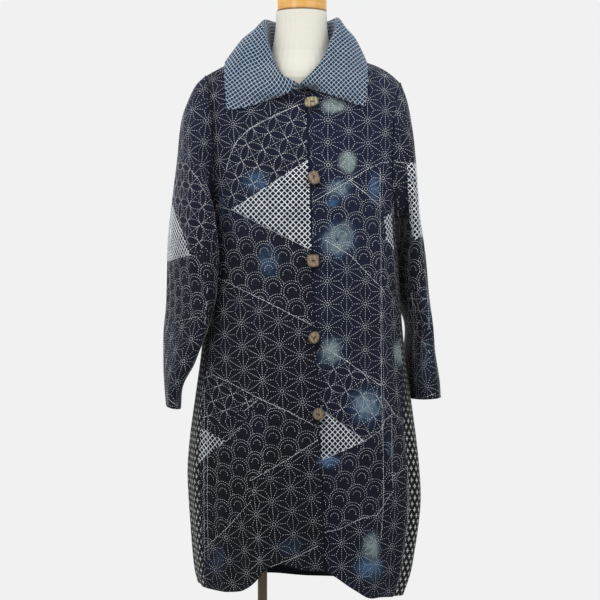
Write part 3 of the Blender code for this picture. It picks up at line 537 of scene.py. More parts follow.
def panel_rises(angles, behind):
    """The rise of each point of a panel: the rows, drawn down to the neckline where it is cut."""
    rises = np.repeat(rows()[:, None], angles.shape[1], axis=1)
    x = body(angles[-1], 2.0)[:, 0]
    ends = neck_rise(x, angles[-1], behind)
    over = rises > 1
    return np.where(over, 1 + (rises - 1) * (ends[None, :] - 1), rises)


def shoulder_gap(points, behind):
    """Parts front and back along the shoulder line by half a seam's gap each."""
    points[..., 1] += (1 if behind else -1) * SEAM_GAP / 2
    return points


def panel(angles, behind, sink=None):
    """The outer and inner points of a front or the back."""
    rises = panel_rises(angles, behind)
    points = body(angles, rises)
    normals = body_normal(angles, rises)
    on_shoulder = rises > 2 - 1e-6
    normals[on_shoulder] = unit(normals[on_shoulder] * np.array([1.0, 0.0, 1.0]))
    if sink is not None:
        points = points - normals * sink[..., None]
    points = shoulder_gap(points, behind)
    return points, points - normals * CLOTH, panel_metres(angles, rises)


def panel_metres(angles, rises):
    """Distances on the cloth: along the level rows from the centre line, and up from the chest."""
    level_rows = np.repeat(rows()[:, None], angles.shape[1], axis=1)
    points = body(angles, level_rows)
    u, v = metre_grid(points, np.abs(points[..., 0]).argmin(axis=1))
    for k in range(angles.shape[1]):
        u[:, k] = np.interp(rises[:, k], level_rows[:, k], u[:, k])
        v[:, k] = np.interp(rises[:, k], level_rows[:, k], v[:, k])
    return u, v - v[ROWS_BELOW_ARMPIT + ROWS_TO_CHEST]


def neck_columns(side, corners):
    """The columns that end at corners of the neckline, as angles from the centre."""
    width = by_side(side, BODY, SHOULDER_LEVEL)
    columns = []
    for degrees in corners:
        x = NECK_HALF_WIDTH * math.sin(math.radians(degrees))
        angle = side * squircle_angle(x / width, BODY_SQUARENESS)
        columns.append(np.full(len(rows()), angle))
    return columns


def front_right():
    """The wearer's right front, which laps over the other as far as the front edge."""
    r = rows()
    edge = angle_of(read(FRONT_EDGE, 1, level(r)), r)
    seam = outer_angle(r, -1, False)
    seam = seam + gap_angle(seam, r)
    neck = neck_columns(-1, BACK_NECK_CORNERS)
    angles = between([seam, *neck, edge], [SHOULDER_SPANS, *[1] * (len(neck) - 1), 8])
    return panel(angles, False)


def front_left():
    """The wearer's left front, which sinks under the other by a wall and a little air."""
    r = rows()
    edge = read(FRONT_EDGE, 1, level(r))
    under = angle_of(-np.full(len(r), UNDERLAP), r)
    centre = np.zeros(len(r))
    lap = angle_of(edge, r)
    flat = angle_of(edge + UNDERLAP_FLAT, r)
    risen = angle_of(edge + UNDERLAP_FLAT + UNDERLAP_RISE, r)
    seam = outer_angle(r, 1, False)
    seam = seam - gap_angle(seam, r)
    neck = neck_columns(1, FRONT_NECK_CORNERS)[::-1]
    shares = [(line[-1] - risen[-1]) / (seam[-1] - risen[-1]) for line in neck]
    neck = [risen + (seam - risen) * share for share in shares]
    lines = [under, centre, lap, flat, risen, *neck, seam]
    angles = between(lines, [*LAP_SPANS, 5, 1, *[1] * (len(neck) - 1), SHOULDER_SPANS])
    sink = np.zeros(angles.shape)
    sink[:, : sum(LAP_SPANS) + 1] = CLOTH + LAYER_GAP
    return panel(angles, False, sink)


def back():
    """The back, in one piece from armhole to armhole."""
    r = rows()
    left = outer_angle(r, 1, True)
    right = outer_angle(r, -1, True) + 2 * np.pi
    left = left + gap_angle(left, r)
    right = right - gap_angle(right, r)
    neck = [np.pi - line for line in neck_columns(1, BACK_NECK_CORNERS)]
    neck += [np.pi - line for line in neck_columns(-1, BACK_NECK_CORNERS[-2::-1])]
    spans = [SHOULDER_SPANS, *[1] * (len(neck) - 1), SHOULDER_SPANS]
    angles = between([left, *neck, right], spans)
    return panel(angles, True)


def side_panel(side):
    """The dotted panel between a front and the back, from the hem to the armpit."""
    r = rows()[: ROWS_BELOW_ARMPIT + 1]
    front = outer_angle(r, side, False)
    behind = outer_angle(r, side, True)
    front = front + side * gap_angle(front, r)
    behind = behind - side * gap_angle(behind, r)
    angles = between([front, behind], [SIDE_SPANS])
    rises = np.repeat(r[:, None], angles.shape[1], axis=1)
    points = body(angles, rises)
    return points, points - body_normal(angles, rises) * CLOTH


def shell(name, outer, inner, material, metres=None):
    """A closed cloth shell: face, reverse and turned edges, with metre coordinates for its weave."""
    height, width = outer.shape[:2]
    index = np.arange(height * width).reshape(height, width)
    behind = index + height * width

    def quads(a, b, c, d):
        """Four-cornered faces from four grids of corners."""
        return np.stack([a.ravel(), b.ravel(), c.ravel(), d.ravel()], axis=1)

    faces = [
        quads(index[:-1, :-1], index[:-1, 1:], index[1:, 1:], index[1:, :-1]),
        quads(behind[:-1, :-1], behind[1:, :-1], behind[1:, 1:], behind[:-1, 1:]),
        quads(index[0, :-1], behind[0, :-1], behind[0, 1:], index[0, 1:]),
        quads(index[-1, :-1], index[-1, 1:], behind[-1, 1:], behind[-1, :-1]),
        quads(index[:-1, 0], index[1:, 0], behind[1:, 0], behind[:-1, 0]),
        quads(index[:-1, -1], behind[:-1, -1], behind[1:, -1], index[1:, -1]),
    ]
    faces = np.concatenate(faces)
    points = np.concatenate([outer.reshape(-1, 3), inner.reshape(-1, 3)])
    normal = np.cross(outer[0, 1] - outer[0, 0], outer[1, 0] - outer[0, 0])
    if np.dot(normal, outer[0, 0] - inner[0, 0]) < 0:
        faces = faces[:, ::-1]
    item = new_mesh(name, points, faces, material)
    item.data.set_sharp_from_angle(angle=math.radians(60))
    u, v = metres if metres is not None else metre_grid(outer)
    flat = np.stack([u, v], axis=-1).reshape(-1, 2)
    flat = np.concatenate([flat, flat])
    layer = item.data.uv_layers.new(name="metres")
    layer.data.foreach_set("uv", flat[faces.ravel()].astype(np.float32).ravel())
    return item


def run_of(points, axis):
    """The distance run from the first point along an axis of a grid of points."""
    step = np.linalg.norm(np.diff(points, axis=axis), axis=2)
    start = np.zeros_like(step[:, :1] if axis else step[:1])
    return np.concatenate([start, np.cumsum(step, axis=axis)], axis=axis)


def metre_grid(points, middle=None):
    """Distances along the rows from the middle column, and up the columns from the lowest row."""
    u, v = run_of(points, 1), run_of(points, 0)
    if middle is not None:
        u = u - np.take_along_axis(u, middle[:, None], axis=1)
    return u, v


# The photograph's 600 by 600 squares: the middle of the coat in them, and metres in each
PICTURE_MIDDLE = (303, 300)
SQUARE = 0.0019


def to_photo(points):
    """Where points of the coat's front are seen, in the picture's 600 by 600 squares."""
    away = -CAMERA_PLACE[1]
    scale = (away + points[..., 1]) / away * SQUARE
    across = PICTURE_MIDDLE[0] + points[..., 0] / scale
    return across, PICTURE_MIDDLE[1] - (points[..., 2] - CAMERA_PLACE[2]) / scale


def paint(item, name, values):
    """Stores one number for each point of a mesh, for its material."""
    layer = item.data.attributes.new(name=name, type="FLOAT", domain="POINT")
    layer.data.foreach_set("value", np.ascontiguousarray(values, np.float32).ravel())


# Pale and blue spots as seen from in front, mostly washed-out spots of the dye and a few painted highlights:
# centre, half sizes, how pale, how blue
DYE_AND_HIGHLIGHT_SPOTS = (
    (333, 106, 13, 8, 1.0, 0.5),
    (347, 162, 10, 12, 1.0, 0.5),
    (339, 189, 14, 12, 0.6, 0.8),
    (333, 203, 7, 4, 0.0, 0.9),
    (374, 188, 5, 13, 0.3, 1.0),
    (338, 240, 17, 17, 0.72, 0.9),
    (346, 228, 8, 12, 0.6, 0.6),
    (331, 351, 13, 15, 0.75, 0.9),
    (400, 353, 7, 14, 0.95, 0.6),
    (329, 461, 11, 7, 0.2, 0.95),
    (390, 447, 4, 15, 0.1, 0.6),
    (395, 480, 16, 110, 0.0, 0.3),
    (362, 584, 45, 15, 0.0, 0.35),
    (206, 475, 3.5, 70, 0.12, 0.36),
    (222, 210, 3, 28, 0.0, 0.55),
    (366, 406, 16, 16, 0.6, 1.0),
    (371, 547, 10, 18, 0.78, 0.7),
    (369, 567, 14, 12, 0.2, 0.95),
    (256, 181, 13, 12, 0.12, 0.85),
    (268, 262, 12, 16, 0.0, 0.7),
    (246, 401, 6, 6, 0.0, 0.35),
    (290, 547, 18, 12, 0.0, 0.5),
    (217, 560, 14, 22, 0.0, 0.5),
    (188, 116, 5, 11, 0.12, 0.42),
    (184, 154, 5, 9, 0.2, 0.45),
    (399, 105, 7, 14, 0.25, 0.4),
    (394, 164, 6, 9, 0.35, 0.3),
    (217, 298, 6, 30, 0.0, 0.4),
    # Painted highlights along the sleeves' outer folds; the last lightens the wearer's left cuff, partly for
    # its denser stitching and partly as painted light where it lies in shade
    (172, 345, 6, 45, 0.1, 0.5),
    (429, 305, 8, 60, 0.2, 0.45),
    (424, 364, 20, 40, 0.35, 0.5),
)
# Painted shade: dark spots laid where shade falls, in the hollows between the sleeves and the body,
# under the collar and in its notch, and below the buttons: centre, half sizes, depth
SHADOWS = (
    (403, 266, 7, 60, 0.95),
    (210, 92, 3.5, 32, 0.5),
    (213, 150, 4, 60, 0.7),
    (212, 285, 5, 70, 0.6),
    (284, 98, 26, 4, 0.8),
    (340, 99, 16, 3, 0.6),
    (306, 88, 8, 5, 0.95),
    (404, 395, 5, 30, 0.5),
    (308, 90, 13, 7, 1.0),
    (313, 88, 8, 5, 1.0),
    (312, 111, 9, 3, 0.8),
    (315, 185, 8, 3, 0.8),
    (315, 269, 8, 3, 0.8),
    (317, 347, 9, 4, 0.9),
    (319, 424, 8, 3, 0.7),
)


# Spots, painted highlights and painted shade fade out over this depth, round the coat's middle
SPOT_FADE = 0.08
# Where the ground grows more navy: from this height, over this reach, by this share
NAVY_FROM = 1.0
NAVY_REACH = 0.25
NAVY_GAIN = 0.4


def paint_dye_and_painted_light(item, navy):
    """Paints on a shell the dye's spots and painted highlights, the painted shade in the hollows, and how
    navy its ground is.
    """
    co = np.empty(len(item.data.vertices) * 3, np.float32)
    item.data.vertices.foreach_get("co", co)
    co = co.reshape(-1, 3).astype(float)
    px, py = to_photo(co)

    def spot(x, y, wide, high, fall, power=1.0):
        """1 at the middle of a spot, falling off to 0 around it."""
        return np.exp(-fall * (((px - x) / wide) ** 2 + ((py - y) / high) ** 2) ** power)

    pale, blue, shadow = np.zeros(len(co)), np.zeros(len(co)), np.zeros(len(co))
    for *oval, paleness, blueness in DYE_AND_HIGHLIGHT_SPOTS:
        pale = np.maximum(pale, spot(*oval, 0.9, 1.5) * paleness)
        blue = np.maximum(blue, spot(*oval, 0.6) * blueness)
    for *oval, depth in SHADOWS:
        shadow = np.maximum(shadow, spot(*oval, 0.9) * depth)
    ahead = np.clip(0.5 - co[:, 1] / SPOT_FADE, 0, 1)
    for layer, values in (("pale", pale), ("blue", blue), ("shadow", shadow)):
        paint(item, layer, values * ahead)
    paint(item, "navy", navy + NAVY_GAIN * np.clip((co[:, 2] - NAVY_FROM) / NAVY_REACH, 0, 1))


def maths(tree, operation, *values):
    """A sum, product or other calculation in a shader tree."""
    item = add(tree, "ShaderNodeMath", dict(enumerate(values)), operation=operation)
    return item.outputs[0]


def ramp(tree, factor, low, high):
    """0 below low, 1 above high, soft between."""
    item = add(
        tree,
        "ShaderNodeMapRange",
        {"Value": factor, "From Min": low, "From Max": high},
        interpolation_type="SMOOTHSTEP",
    )
    return item.outputs["Result"]


def painted(tree, name):
    """One of a shell's painted layers."""
    return add(tree, "ShaderNodeAttribute", attribute_name=name).outputs["Fac"]


def on_cloth(tree):
    """The shader's place on the flat cloth, in metres."""
    return add(tree, "ShaderNodeUVMap", uv_map="metres").outputs[0]


def stretched(tree, where, scale, **more):
    """Coordinates scaled each way by its own number."""
    return add(tree, "ShaderNodeMapping", {"Vector": where, "Scale": scale, **more}).outputs[0]


def parts(tree, where):
    """The x, y and z of some coordinates."""
    return add(tree, "ShaderNodeSeparateXYZ", {"Vector": where}).outputs


def cotton(name):
    """Indigo cotton: a dark slubbed weave with navy and black areas, washed-out spots and painted highlights,
    and painted shade towards the hem and in the hollows.
    """
    material, tree = new_material(name, 0.92, Specular_IOR_Level=0.15, Sheen_Weight=0.03)
    metres, place = on_cloth(tree), in_object(tree)
    weft = noise(tree, stretched(tree, metres, (90, 1400, 1)), 1.0, 3.0)
    warp = noise(tree, stretched(tree, metres, (1400, 90, 1)), 1.0, 3.0)
    threads = maths(tree, "ADD", weft, warp)
    cloud = maths(tree, "MULTIPLY_ADD", noise(tree, place, 7.0, 5.0), 1.6, -0.8)
    shade = maths(tree, "ADD", painted(tree, "navy"), cloud)
    ground = mix(tree, ramp(tree, shade, 0.0, 1.0), "#191b25", "#1e243c")
    blots = maths(tree, "MULTIPLY", noise(tree, place, 130.0, 3.0), 0.7)
    rough = maths(tree, "ADD", noise(tree, place, 60.0, 4.0), blots)
    uneven = maths(tree, "MULTIPLY_ADD", rough, 1.3, -1.1)
    blue, pale = painted(tree, "blue"), painted(tree, "pale")
    for spots, colour in ((blue, "#466488"), (pale, "#8fa19f")):
        washed = maths(tree, "ADD", spots, maths(tree, "MULTIPLY", uneven, spots))
        ground = mix(tree, ramp(tree, washed, 0.25, 1.0), ground, colour)
    # Painted shade: the ground darkens towards the hem, as if lit from above, and in the painted hollows; the
    # pale and blue spots are spared the darkening towards the hem.
    painted_light = maths(tree, "MULTIPLY_ADD", ramp(tree, parts(tree, place)[2], 0.4, 1.45), 0.78, 0.22)
    spots = maths(tree, "MULTIPLY", maths(tree, "MAXIMUM", pale, blue), 0.9)
    lit = maths(tree, "SUBTRACT", 1.0, painted(tree, "shadow"))
    painted_light = maths(tree, "MULTIPLY", maths(tree, "MAXIMUM", painted_light, spots), lit)
    ground = mix(tree, painted_light, mix(tree, 0.92, ground, (0.0012, 0.0012, 0.002)), ground)
    dark = mix(tree, 0.55, ground, (0.002, 0.002, 0.003))
    cover(tree, mix(tree, ramp(tree, threads, 0.75, 1.25), dark, ground), threads)
    return material


# Crosses of the dotted cotton: from one to the next across and down the cloth, in millimetres
CROSS_STEPS = (13.5, 22.0)


def dotted(name):
    """Black cotton with rows of small pale crosses, every other row set off by half a step."""
    material, tree = new_material(name, 0.92, Specular_IOR_Level=0.15, Sheen_Weight=0.03)
    metres = on_cloth(tree)
    split = parts(tree, metres)
    crosses = []
    for shift in (0.0, 0.5):
        arms = []
        for way, step in zip(split, CROSS_STEPS):
            at = maths(tree, "FRACT", maths(tree, "MULTIPLY_ADD", way, 1000 / step, shift))
            off = maths(tree, "MULTIPLY", maths(tree, "SUBTRACT", at, 0.5), step)
            arms.append(maths(tree, "ABSOLUTE", off))
        thin = ramp(tree, maths(tree, "MINIMUM", *arms), 1.35, 0.75)
        reach = maths(tree, "MAXIMUM", arms[0], maths(tree, "MULTIPLY", arms[1], 0.8))
        crosses.append(maths(tree, "MULTIPLY", thin, ramp(tree, reach, 3.8, 3.0)))
    grain = noise(tree, metres, 900.0, 2.0)
    cross = maths(tree, "MULTIPLY", maths(tree, "MAXIMUM", *crosses), ramp(tree, grain, 0.3, 0.6))
    # Painted shade darkens the side panels in the hollows under the sleeves.
    shadow = maths(tree, "MULTIPLY", painted(tree, "shadow"), 0.9)
    colour = mix(tree, shadow, mix(tree, cross, "#0c0d10", "#c4c6c6"), "#08090b")
    cover(tree, colour, grain, 0.3, 0.0003)
    return material


def make_body():
    """The five panels of the body; returns the shells' faces for the stitches."""
    indigo = cotton("indigo sashiko cotton")
    black = dotted("black dotted cotton")
    faces = {}
    for name, (outer, inner, metres), navy in (
        ("front_right", front_right(), 0.25),
        ("front_left", front_left(), 0.75),
        ("back", back(), 0.45),
    ):
        item = shell(f"{name}_cloth", outer, inner, indigo, metres=metres)
        paint_dye_and_painted_light(item, navy)
        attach(item, "root")
        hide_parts(name)
        faces[name] = (outer, inner, *metres)
    for side, name in ((-1, "side_panel_right"), (1, "side_panel_left")):
        item = shell(f"{name}_cloth", *side_panel(side), black)
        paint_dye_and_painted_light(item, 0.0)
        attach(item, "root")
        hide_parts(name)
    return indigo, faces


indigo_cotton, cloth_faces = make_body()


# The sleeves: one tube of the same cotton each, sewn in at the armhole's edge and open at the
# cuff. Weave and stitching lie level on them, as on a sleeve's flat cloth.

# Sections of a sleeve, from the armhole to the cuff: outer x and z, inner x and z, half depth,
# degrees that the front edge turns towards the body, how far its middle lies to the front
SLEEVE_RIGHT = (
    (0.184, 1.409, 0.178, 1.142, 0.078, 0, 0.004),
    (0.206, 1.384, 0.184, 1.146, 0.082, 3, 0.008),
    (0.226, 1.330, 0.187, 1.139, 0.085, 9, 0.016),
    (0.231, 1.262, 0.181, 1.116, 0.087, 16, 0.026),
    (0.235, 1.190, 0.175, 1.080, 0.088, 22, 0.036),
    (0.242, 1.120, 0.171, 1.045, 0.088, 25, 0.042),
    (0.247, 1.050, 0.170, 1.004, 0.087, 26, 0.044),
    (0.254, 0.985, 0.172, 0.960, 0.086, 26, 0.044),
    (0.263, 0.926, 0.184, 0.914, 0.084, 24, 0.040),
    (0.264, 0.874, 0.203, 0.866, 0.080, 15, 0.032),
    (0.262, 0.830, 0.226, 0.824, 0.075, 7, 0.026),
    (0.257, 0.786, 0.232, 0.780, 0.070, 3, 0.022),
)
SLEEVE_LEFT = (
    (0.184, 1.396, 0.178, 1.142, 0.078, 0, -0.004),
    (0.197, 1.358, 0.184, 1.146, 0.082, -1, -0.008),
    (0.205, 1.304, 0.189, 1.139, 0.086, -4, -0.014),
    (0.206, 1.238, 0.187, 1.114, 0.088, -9, -0.022),
    (0.208, 1.164, 0.182, 1.078, 0.089, -13, -0.030),
    (0.218, 1.094, 0.175, 1.040, 0.088, -15, -0.035),
    (0.229, 1.020, 0.180, 0.990, 0.086, -15, -0.035),
    (0.241, 0.950, 0.200, 0.936, 0.083, -12, -0.028),
    (0.247, 0.888, 0.197, 0.878, 0.081, -11, -0.022),
    (0.255, 0.840, 0.200, 0.832, 0.078, -11, -0.018),
    (0.2585, 0.802, 0.205, 0.796, 0.074, -10, -0.016),
)
SLEEVE_BLEND = 3.0
LEAST_THICKNESS = 0.010
# Air between a sleeve and the body's side, how it fades in below the armpit, and its most
SLEEVE_AIR = 0.0015
SLEEVE_AIR_FADE = 0.012
MOST_SHIFT = 0.012
# Folds along a sleeve: degrees round it from the top over the front, first and last section,
# rise, half width in degrees
SLEEVE_FOLDS = (
    (62, 1.5, 8.0, 0.0045, 16),
    (86, 0.2, 3.6, 0.0055, 9),
    (103, 0.6, 6.5, -0.0060, 9),
    (132, 5.0, 9.5, 0.0035, 8),
    (40, 4.0, 7.0, -0.0030, 9),
    (210, 1.0, 6.0, -0.0040, 10),
    (275, 5.0, 9.0, 0.0035, 9),
    (330, 2.0, 6.0, 0.0030, 9),
    (118, 3.0, 9.5, -0.004, 15),
    (250, 2.0, 8.5, 0.005, 18),
    (300, 3.5, 9.0, -0.0035, 14),
)
SLEEVE_RINGS = 150
# Degrees round a sleeve, from the top over the front: both ends of the armpit's level edge, and
# where the edge behind passes the chest level
UNDERARM = (125, 235)
BEHIND_CHEST = 249
# Levels at which the way round a hanging sleeve is measured
HANGING_LEVELS = 260


def armhole(side, value):
    """The body's points, or its outward directions, along the edge that a sleeve is sewn to.

    They go from the shoulder down the front, under the arm and up the back.
    """
    upper = rows()[ROWS_BELOW_ARMPIT:]
    front = value(outer_angle(upper, side, False), upper)
    behind = value(outer_angle(upper, side, True), upper)
    armpit = upper[0]
    start, end = outer_angle(armpit, side, False), outer_angle(armpit, side, True)
    under = start + (end - start) * np.arange(1, SIDE_SPANS) / SIDE_SPANS
    return np.concatenate([front[::-1], value(under, armpit), behind[:-1]])


def armhole_angles():
    """The angle round the sleeve of each point of the armhole: the top is 0, the front is 90."""
    upper = rows()[ROWS_BELOW_ARMPIT:]
    up = np.interp(upper, [upper[0], 1, 2], [UNDERARM[1], BEHIND_CHEST, 360])
    down = 360 - up[::-1]
    under = np.linspace(*UNDERARM, SIDE_SPANS + 1)[1:-1]
    return np.radians(np.concatenate([down, under, up[:-1]]))


def sleeve_ring(table, side, section, angle):
    """Points of one ring of a sleeve: an oval, tilted as the sleeve falls and turned to the front."""
    at = np.arange(len(table), dtype=float)
    outer_x, outer_z, inner_x, inner_z, depth, turn, forward = (
        smooth(section, at, column(table, k)) for k in range(7)
    )
    turn = np.radians(turn)
    run = np.stack([outer_x - inner_x, outer_z - inner_z], axis=-1)
    half = np.linalg.norm(run, axis=-1) / 2
    lean = run / (2 * half[..., None])
    seen = np.maximum(half**2 - (depth * np.sin(turn) * lean[..., 0]) ** 2, LEAST_THICKNESS**2)
    thick = np.sqrt(seen) / np.cos(turn * lean[..., 0])
    c, s = np.cos(angle), np.sin(angle)
    out = thick * c
    fore = depth * s
    across = out * lean[..., 0]
    x = (outer_x + inner_x) / 2 + across * np.cos(turn) - fore * np.sin(turn)
    y = -forward - fore * np.cos(turn) - across * np.sin(turn)
    z = (outer_z + inner_z) / 2 + out * lean[..., 1]
    return np.stack([side * x, y, z], axis=-1)


def sleeve_folds(section, angle):
    """How far a sleeve's folds stand out, each fading out towards both of its ends."""
    degrees = np.degrees(angle) % 360
    total = np.zeros(np.broadcast(section, angle).shape)
    for centre, first, last, rise, half_width in SLEEVE_FOLDS:
        way = np.clip((section - first) / (last - first), 0, 1)
        across = fold_profile(degrees, centre, half_width)
        total = total + rise * across * np.sin(np.pi * way) ** 2
    return total


def tube_normals(points, side):
    """Outward directions of a tube's face, whose columns wrap round."""
    round_it = np.roll(points, -1, axis=1) - np.roll(points, 1, axis=1)
    along = np.gradient(points, axis=0)
    return unit(np.cross(along, round_it)) * side


def clear_of_body(points, side):
    """Moves a sleeve's points below the armpit out of the body's side, and off it by some air."""
    x, y, z = np.moveaxis(points, -1, 0)
    depth = np.where(y < 0, read(BODY, 3, z), read(BODY, 4, z))
    across = other_share(y / depth, BODY_SQUARENESS)
    least = by_side(side, BODY, z) * across
    least = least + fold_rise(np.arctan2(x, -y), z) * across + SLEEVE_AIR
    lacking = np.maximum(least - side * x, 0) * ease((ARMPIT_LEVEL - z) / SLEEVE_AIR_FADE)
    points[..., 0] += side * np.minimum(lacking, MOST_SHIFT)
    return points


def sleeve(side):
    """A sleeve: the armhole's edge at one end, and past it more and more the plain oval rings."""
    table = SLEEVE_RIGHT if side < 0 else SLEEVE_LEFT
    angle = armhole_angles()[None, :]
    section = np.linspace(0, len(table) - 1, SLEEVE_RINGS + 1)[:, None]
    rings = sleeve_ring(table, side, section + 0 * angle, angle + 0 * section)
    hole = armhole(side, body)
    share = 1 - ease(section[..., None] / SLEEVE_BLEND)
    points = rings + (hole - rings[0])[None] * share
    normals = tube_normals(points, side)
    points = points + normals * sleeve_folds(section, angle)[..., None]
    points = clear_of_body(points, side)
    normals = tube_normals(points, side)
    tangent = np.roll(hole, -1, axis=0) - np.roll(hole, 1, axis=0)
    away = unit(np.cross(tangent, armhole(side, body_normal))) * -side
    reach = SEAM_GAP + CLOTH * np.maximum(0, (normals[0] * away).sum(axis=-1))
    points[0] = points[0] + away * reach[:, None]
    return points, points - normals * CLOTH


def hanging_metres(points, middle):
    """Distances on a hanging tube: round it at one level from the middle column, and up its axis."""
    up = unit((points[0].mean(axis=0) - points[-1].mean(axis=0)) * np.array([1.0, 0.0, 1.0]))
    height = points @ up
    levels = np.linspace(height.min(), height.max(), HANGING_LEVELS)
    rings = np.empty((len(levels), points.shape[1], 3))
    for k in range(points.shape[1]):
        for axis in range(3):
            rings[:, k, axis] = np.interp(levels, height[::-1, k], points[::-1, k, axis])
    round_it = run_of(rings, 1)
    round_it = round_it - round_it[:, middle : middle + 1]
    u = np.empty(height.shape)
    for k in range(points.shape[1]):
        u[:, k] = np.interp(height[:, k], levels, round_it[:, k])
    return u, height - CHEST_LEVEL


def make_sleeves():
    """Both sleeves, opened under the arm for their metre coordinates; adds their faces to the rest."""
    for side, name in ((-1, "sleeve_right"), (1, "sleeve_left")):
        outer, inner = sleeve(side)
        away = outer - outer.mean(axis=1, keepdims=True)
        if np.sum(away * (outer - inner)) < 0:
            outer, inner = inner, outer
        half = outer.shape[1] // 2
        order = (np.arange(outer.shape[1] + 1) + half) % outer.shape[1]
        opened = outer[:, order]
        u, v = hanging_metres(opened, len(order) - 1 - half)
        item = shell(f"{name}_cloth", opened, inner[:, order], indigo_cotton, metres=(u, v))
        paint_dye_and_painted_light(item, 0.35)
        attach(item, "root")
        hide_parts(name)
        cloth_faces[name] = (opened, inner[:, order], u, v)


make_sleeves()


# The sashiko stitching: thick off-white cotton thread run through the cloth, each stitch a small
# ridge standing on it. Hemp-leaf stars cover the coat. Waves, linked circles and crossed grids
# fill patches between lines of heavy couched cord, each patch an outline as seen from in front.

STITCH_PITCH = 0.0043
# Stars: side, hole where rays meet, end of a ray at a triangle's middle, ring in the hole, its pitch
STAR_SIDE = 0.0425
STAR_HOLE = 0.0050
RAY_END = 0.0008
STAR_RING = 0.0031
STAR_RING_PITCH = 0.0024
# Waves: radius, steps from one to the next, rings as shares of the radius, degrees that they
# span, and how far a ring stops short of the next wave
WAVE_RADIUS = 0.0200
WAVE_STEPS = ((0.0314, 0.01675), (0.0, 0.0335))
WAVE_RINGS = (1.0, 0.77, 0.40)
WAVE_SPAN = (-12, 192)
WAVE_CLEARANCE = 1.02
# Circles: radius, and how far their straight lines stop short of their ends
CIRCLE_RADIUS = 0.0232
CIRCLE_INSET = 0.003
# Grid: from one hole to the next, and pitch
GRID_STEP = 0.0106
GRID_PITCH = 0.0029
# How far past its box a pattern is repeated
REPEAT_MARGIN = 0.05
# What shows of one stitch: width and length, in the white grid and in all other patterns
GRID_STITCH = (0.0018, 0.0030)
FINE_STITCH = (0.00090, 0.0022)
# Couched cord and the sewing of seams: pitch in the picture's squares, width and length
CORD_STITCH = (2.0, 0.00115, 0.0029)
SEAM_STITCH = (1.7, 0.0011, 0.0021)
# How deep a stitch's foot is sunk in the cloth, how long its ridge is as a share of its foot, and
# how high it stands as a share of its width
STITCH_SINK = 0.0001
STITCH_RIDGE = 0.8
STITCH_HEIGHT = 0.36
# How much stitches differ: their turn in radians, their length and their width
STITCH_TURN = 0.08
LENGTH_SPREAD = (0.8, 1.15)
WIDTH_SPREAD = (0.8, 1.2)
# How far a cord or seam wanders off its line, in the picture's squares
LINE_WANDER = 0.14
# How far behind the coat's middle the cords and seams seen from in front may lie
FRONT_LINES_REACH = 0.03
# A pattern is laid this far past its patch, and no stitch lies nearer to the edges of the cloth
# than these shares of a row and a column, nor under the lapped front
PATCH_MARGIN = 0.012
EDGE_ROWS = 0.4
EDGE_COLUMNS = 0.06
LAP_MARGIN = 0.0012
# A stitch is left out where its place on the cloth is missed by more, in metres or in squares
MOST_MISS = 0.0003
MOST_LINE_MISS = 0.4


def stitch_line(start, end, inset=0.0, pitch=STITCH_PITCH, end_inset=None):
    """Centres and directions of the running stitches on a straight line of the flat cloth."""
    start, end = np.asarray(start, float), np.asarray(end, float)
    length = np.linalg.norm(end - start)
    way = (end - start) / length
    run = length - inset - (inset if end_inset is None else end_inset)
    count = max(1, round(run / pitch))
    at = inset + (np.arange(count) + 0.5) * run / count
    return start + at[:, None] * way, np.repeat(way[None], count, axis=0)


def stitch_arc(centre, radius, first, last, pitch=STITCH_PITCH):
    """The same on an arc between two angles in degrees."""
    first, last = math.radians(first), math.radians(last)
    count = max(1, round(radius * (last - first) / pitch))
    at = first + (np.arange(count) + 0.5) * (last - first) / count
    out = np.stack([np.cos(at), np.sin(at)], axis=-1)
    return centre + radius * out, np.stack([-out[:, 1], out[:, 0]], axis=-1)


def repeated(unit_cell, first, second, box):
    """Copies one cell's stitches over a box of the flat cloth, along two steps."""
    centres = np.concatenate([c for c, _ in unit_cell])
    ways = np.concatenate([w for _, w in unit_cell])
    low, high = np.array(box[:2]), np.array(box[2:])
    reach = int(np.max(high - low) / min(np.linalg.norm(first), np.linalg.norm(second))) + 3
    i, j = np.meshgrid(np.arange(-reach, reach + 1), np.arange(-reach, reach + 1))
    shifts = i.reshape(-1, 1) * np.array(first) + j.reshape(-1, 1) * np.array(second)
    near = (shifts > low - REPEAT_MARGIN) & (shifts < high + REPEAT_MARGIN)
    shifts = shifts[np.all(near, axis=1)]
    every = (shifts[:, None] + centres[None]).reshape(-1, 2)
    return every, np.tile(ways, (len(shifts), 1))


def stars(box):
    """Asanoha, the hemp leaf: triangles, each with three rays from its middle to its corners."""
    a = STAR_SIDE
    up, over = np.array([0.0, a]), np.array([a * math.sqrt(3) / 2, a / 2])
    middles = ((up + over) / 3, (over + over - up) / 3)
    cell = [stitch_line((0, 0), end, STAR_HOLE) for end in (up, over, over - up)]
    for middle, corners in zip(middles, (((0, 0), up, over), ((0, 0), over, over - up))):
        for corner in corners:
            cell.append(stitch_line(corner, middle, STAR_HOLE, end_inset=RAY_END))
    cell.append(stitch_arc(np.zeros(2), STAR_RING, 0, 360, STAR_RING_PITCH))
    return repeated(cell, up, over, box)


def waves(box):
    """Seigaiha, the blue sea: ringed scales in rows, each row standing before the one above."""
    across, down = np.array(WAVE_STEPS[0]), -np.array(WAVE_STEPS[1])
    centres, ways = [], []
    for share in WAVE_RINGS:
        places, way = stitch_arc(np.zeros(2), share * WAVE_RADIUS, *WAVE_SPAN)
        clear = np.ones(len(places), bool)
        for other in (across + down, -across, down):
            clear &= np.linalg.norm(places - other, axis=1) > WAVE_RADIUS * WAVE_CLEARANCE
        centres.append(places[clear])
        ways.append(way[clear])
    return repeated(list(zip(centres, ways)), *WAVE_STEPS, box)


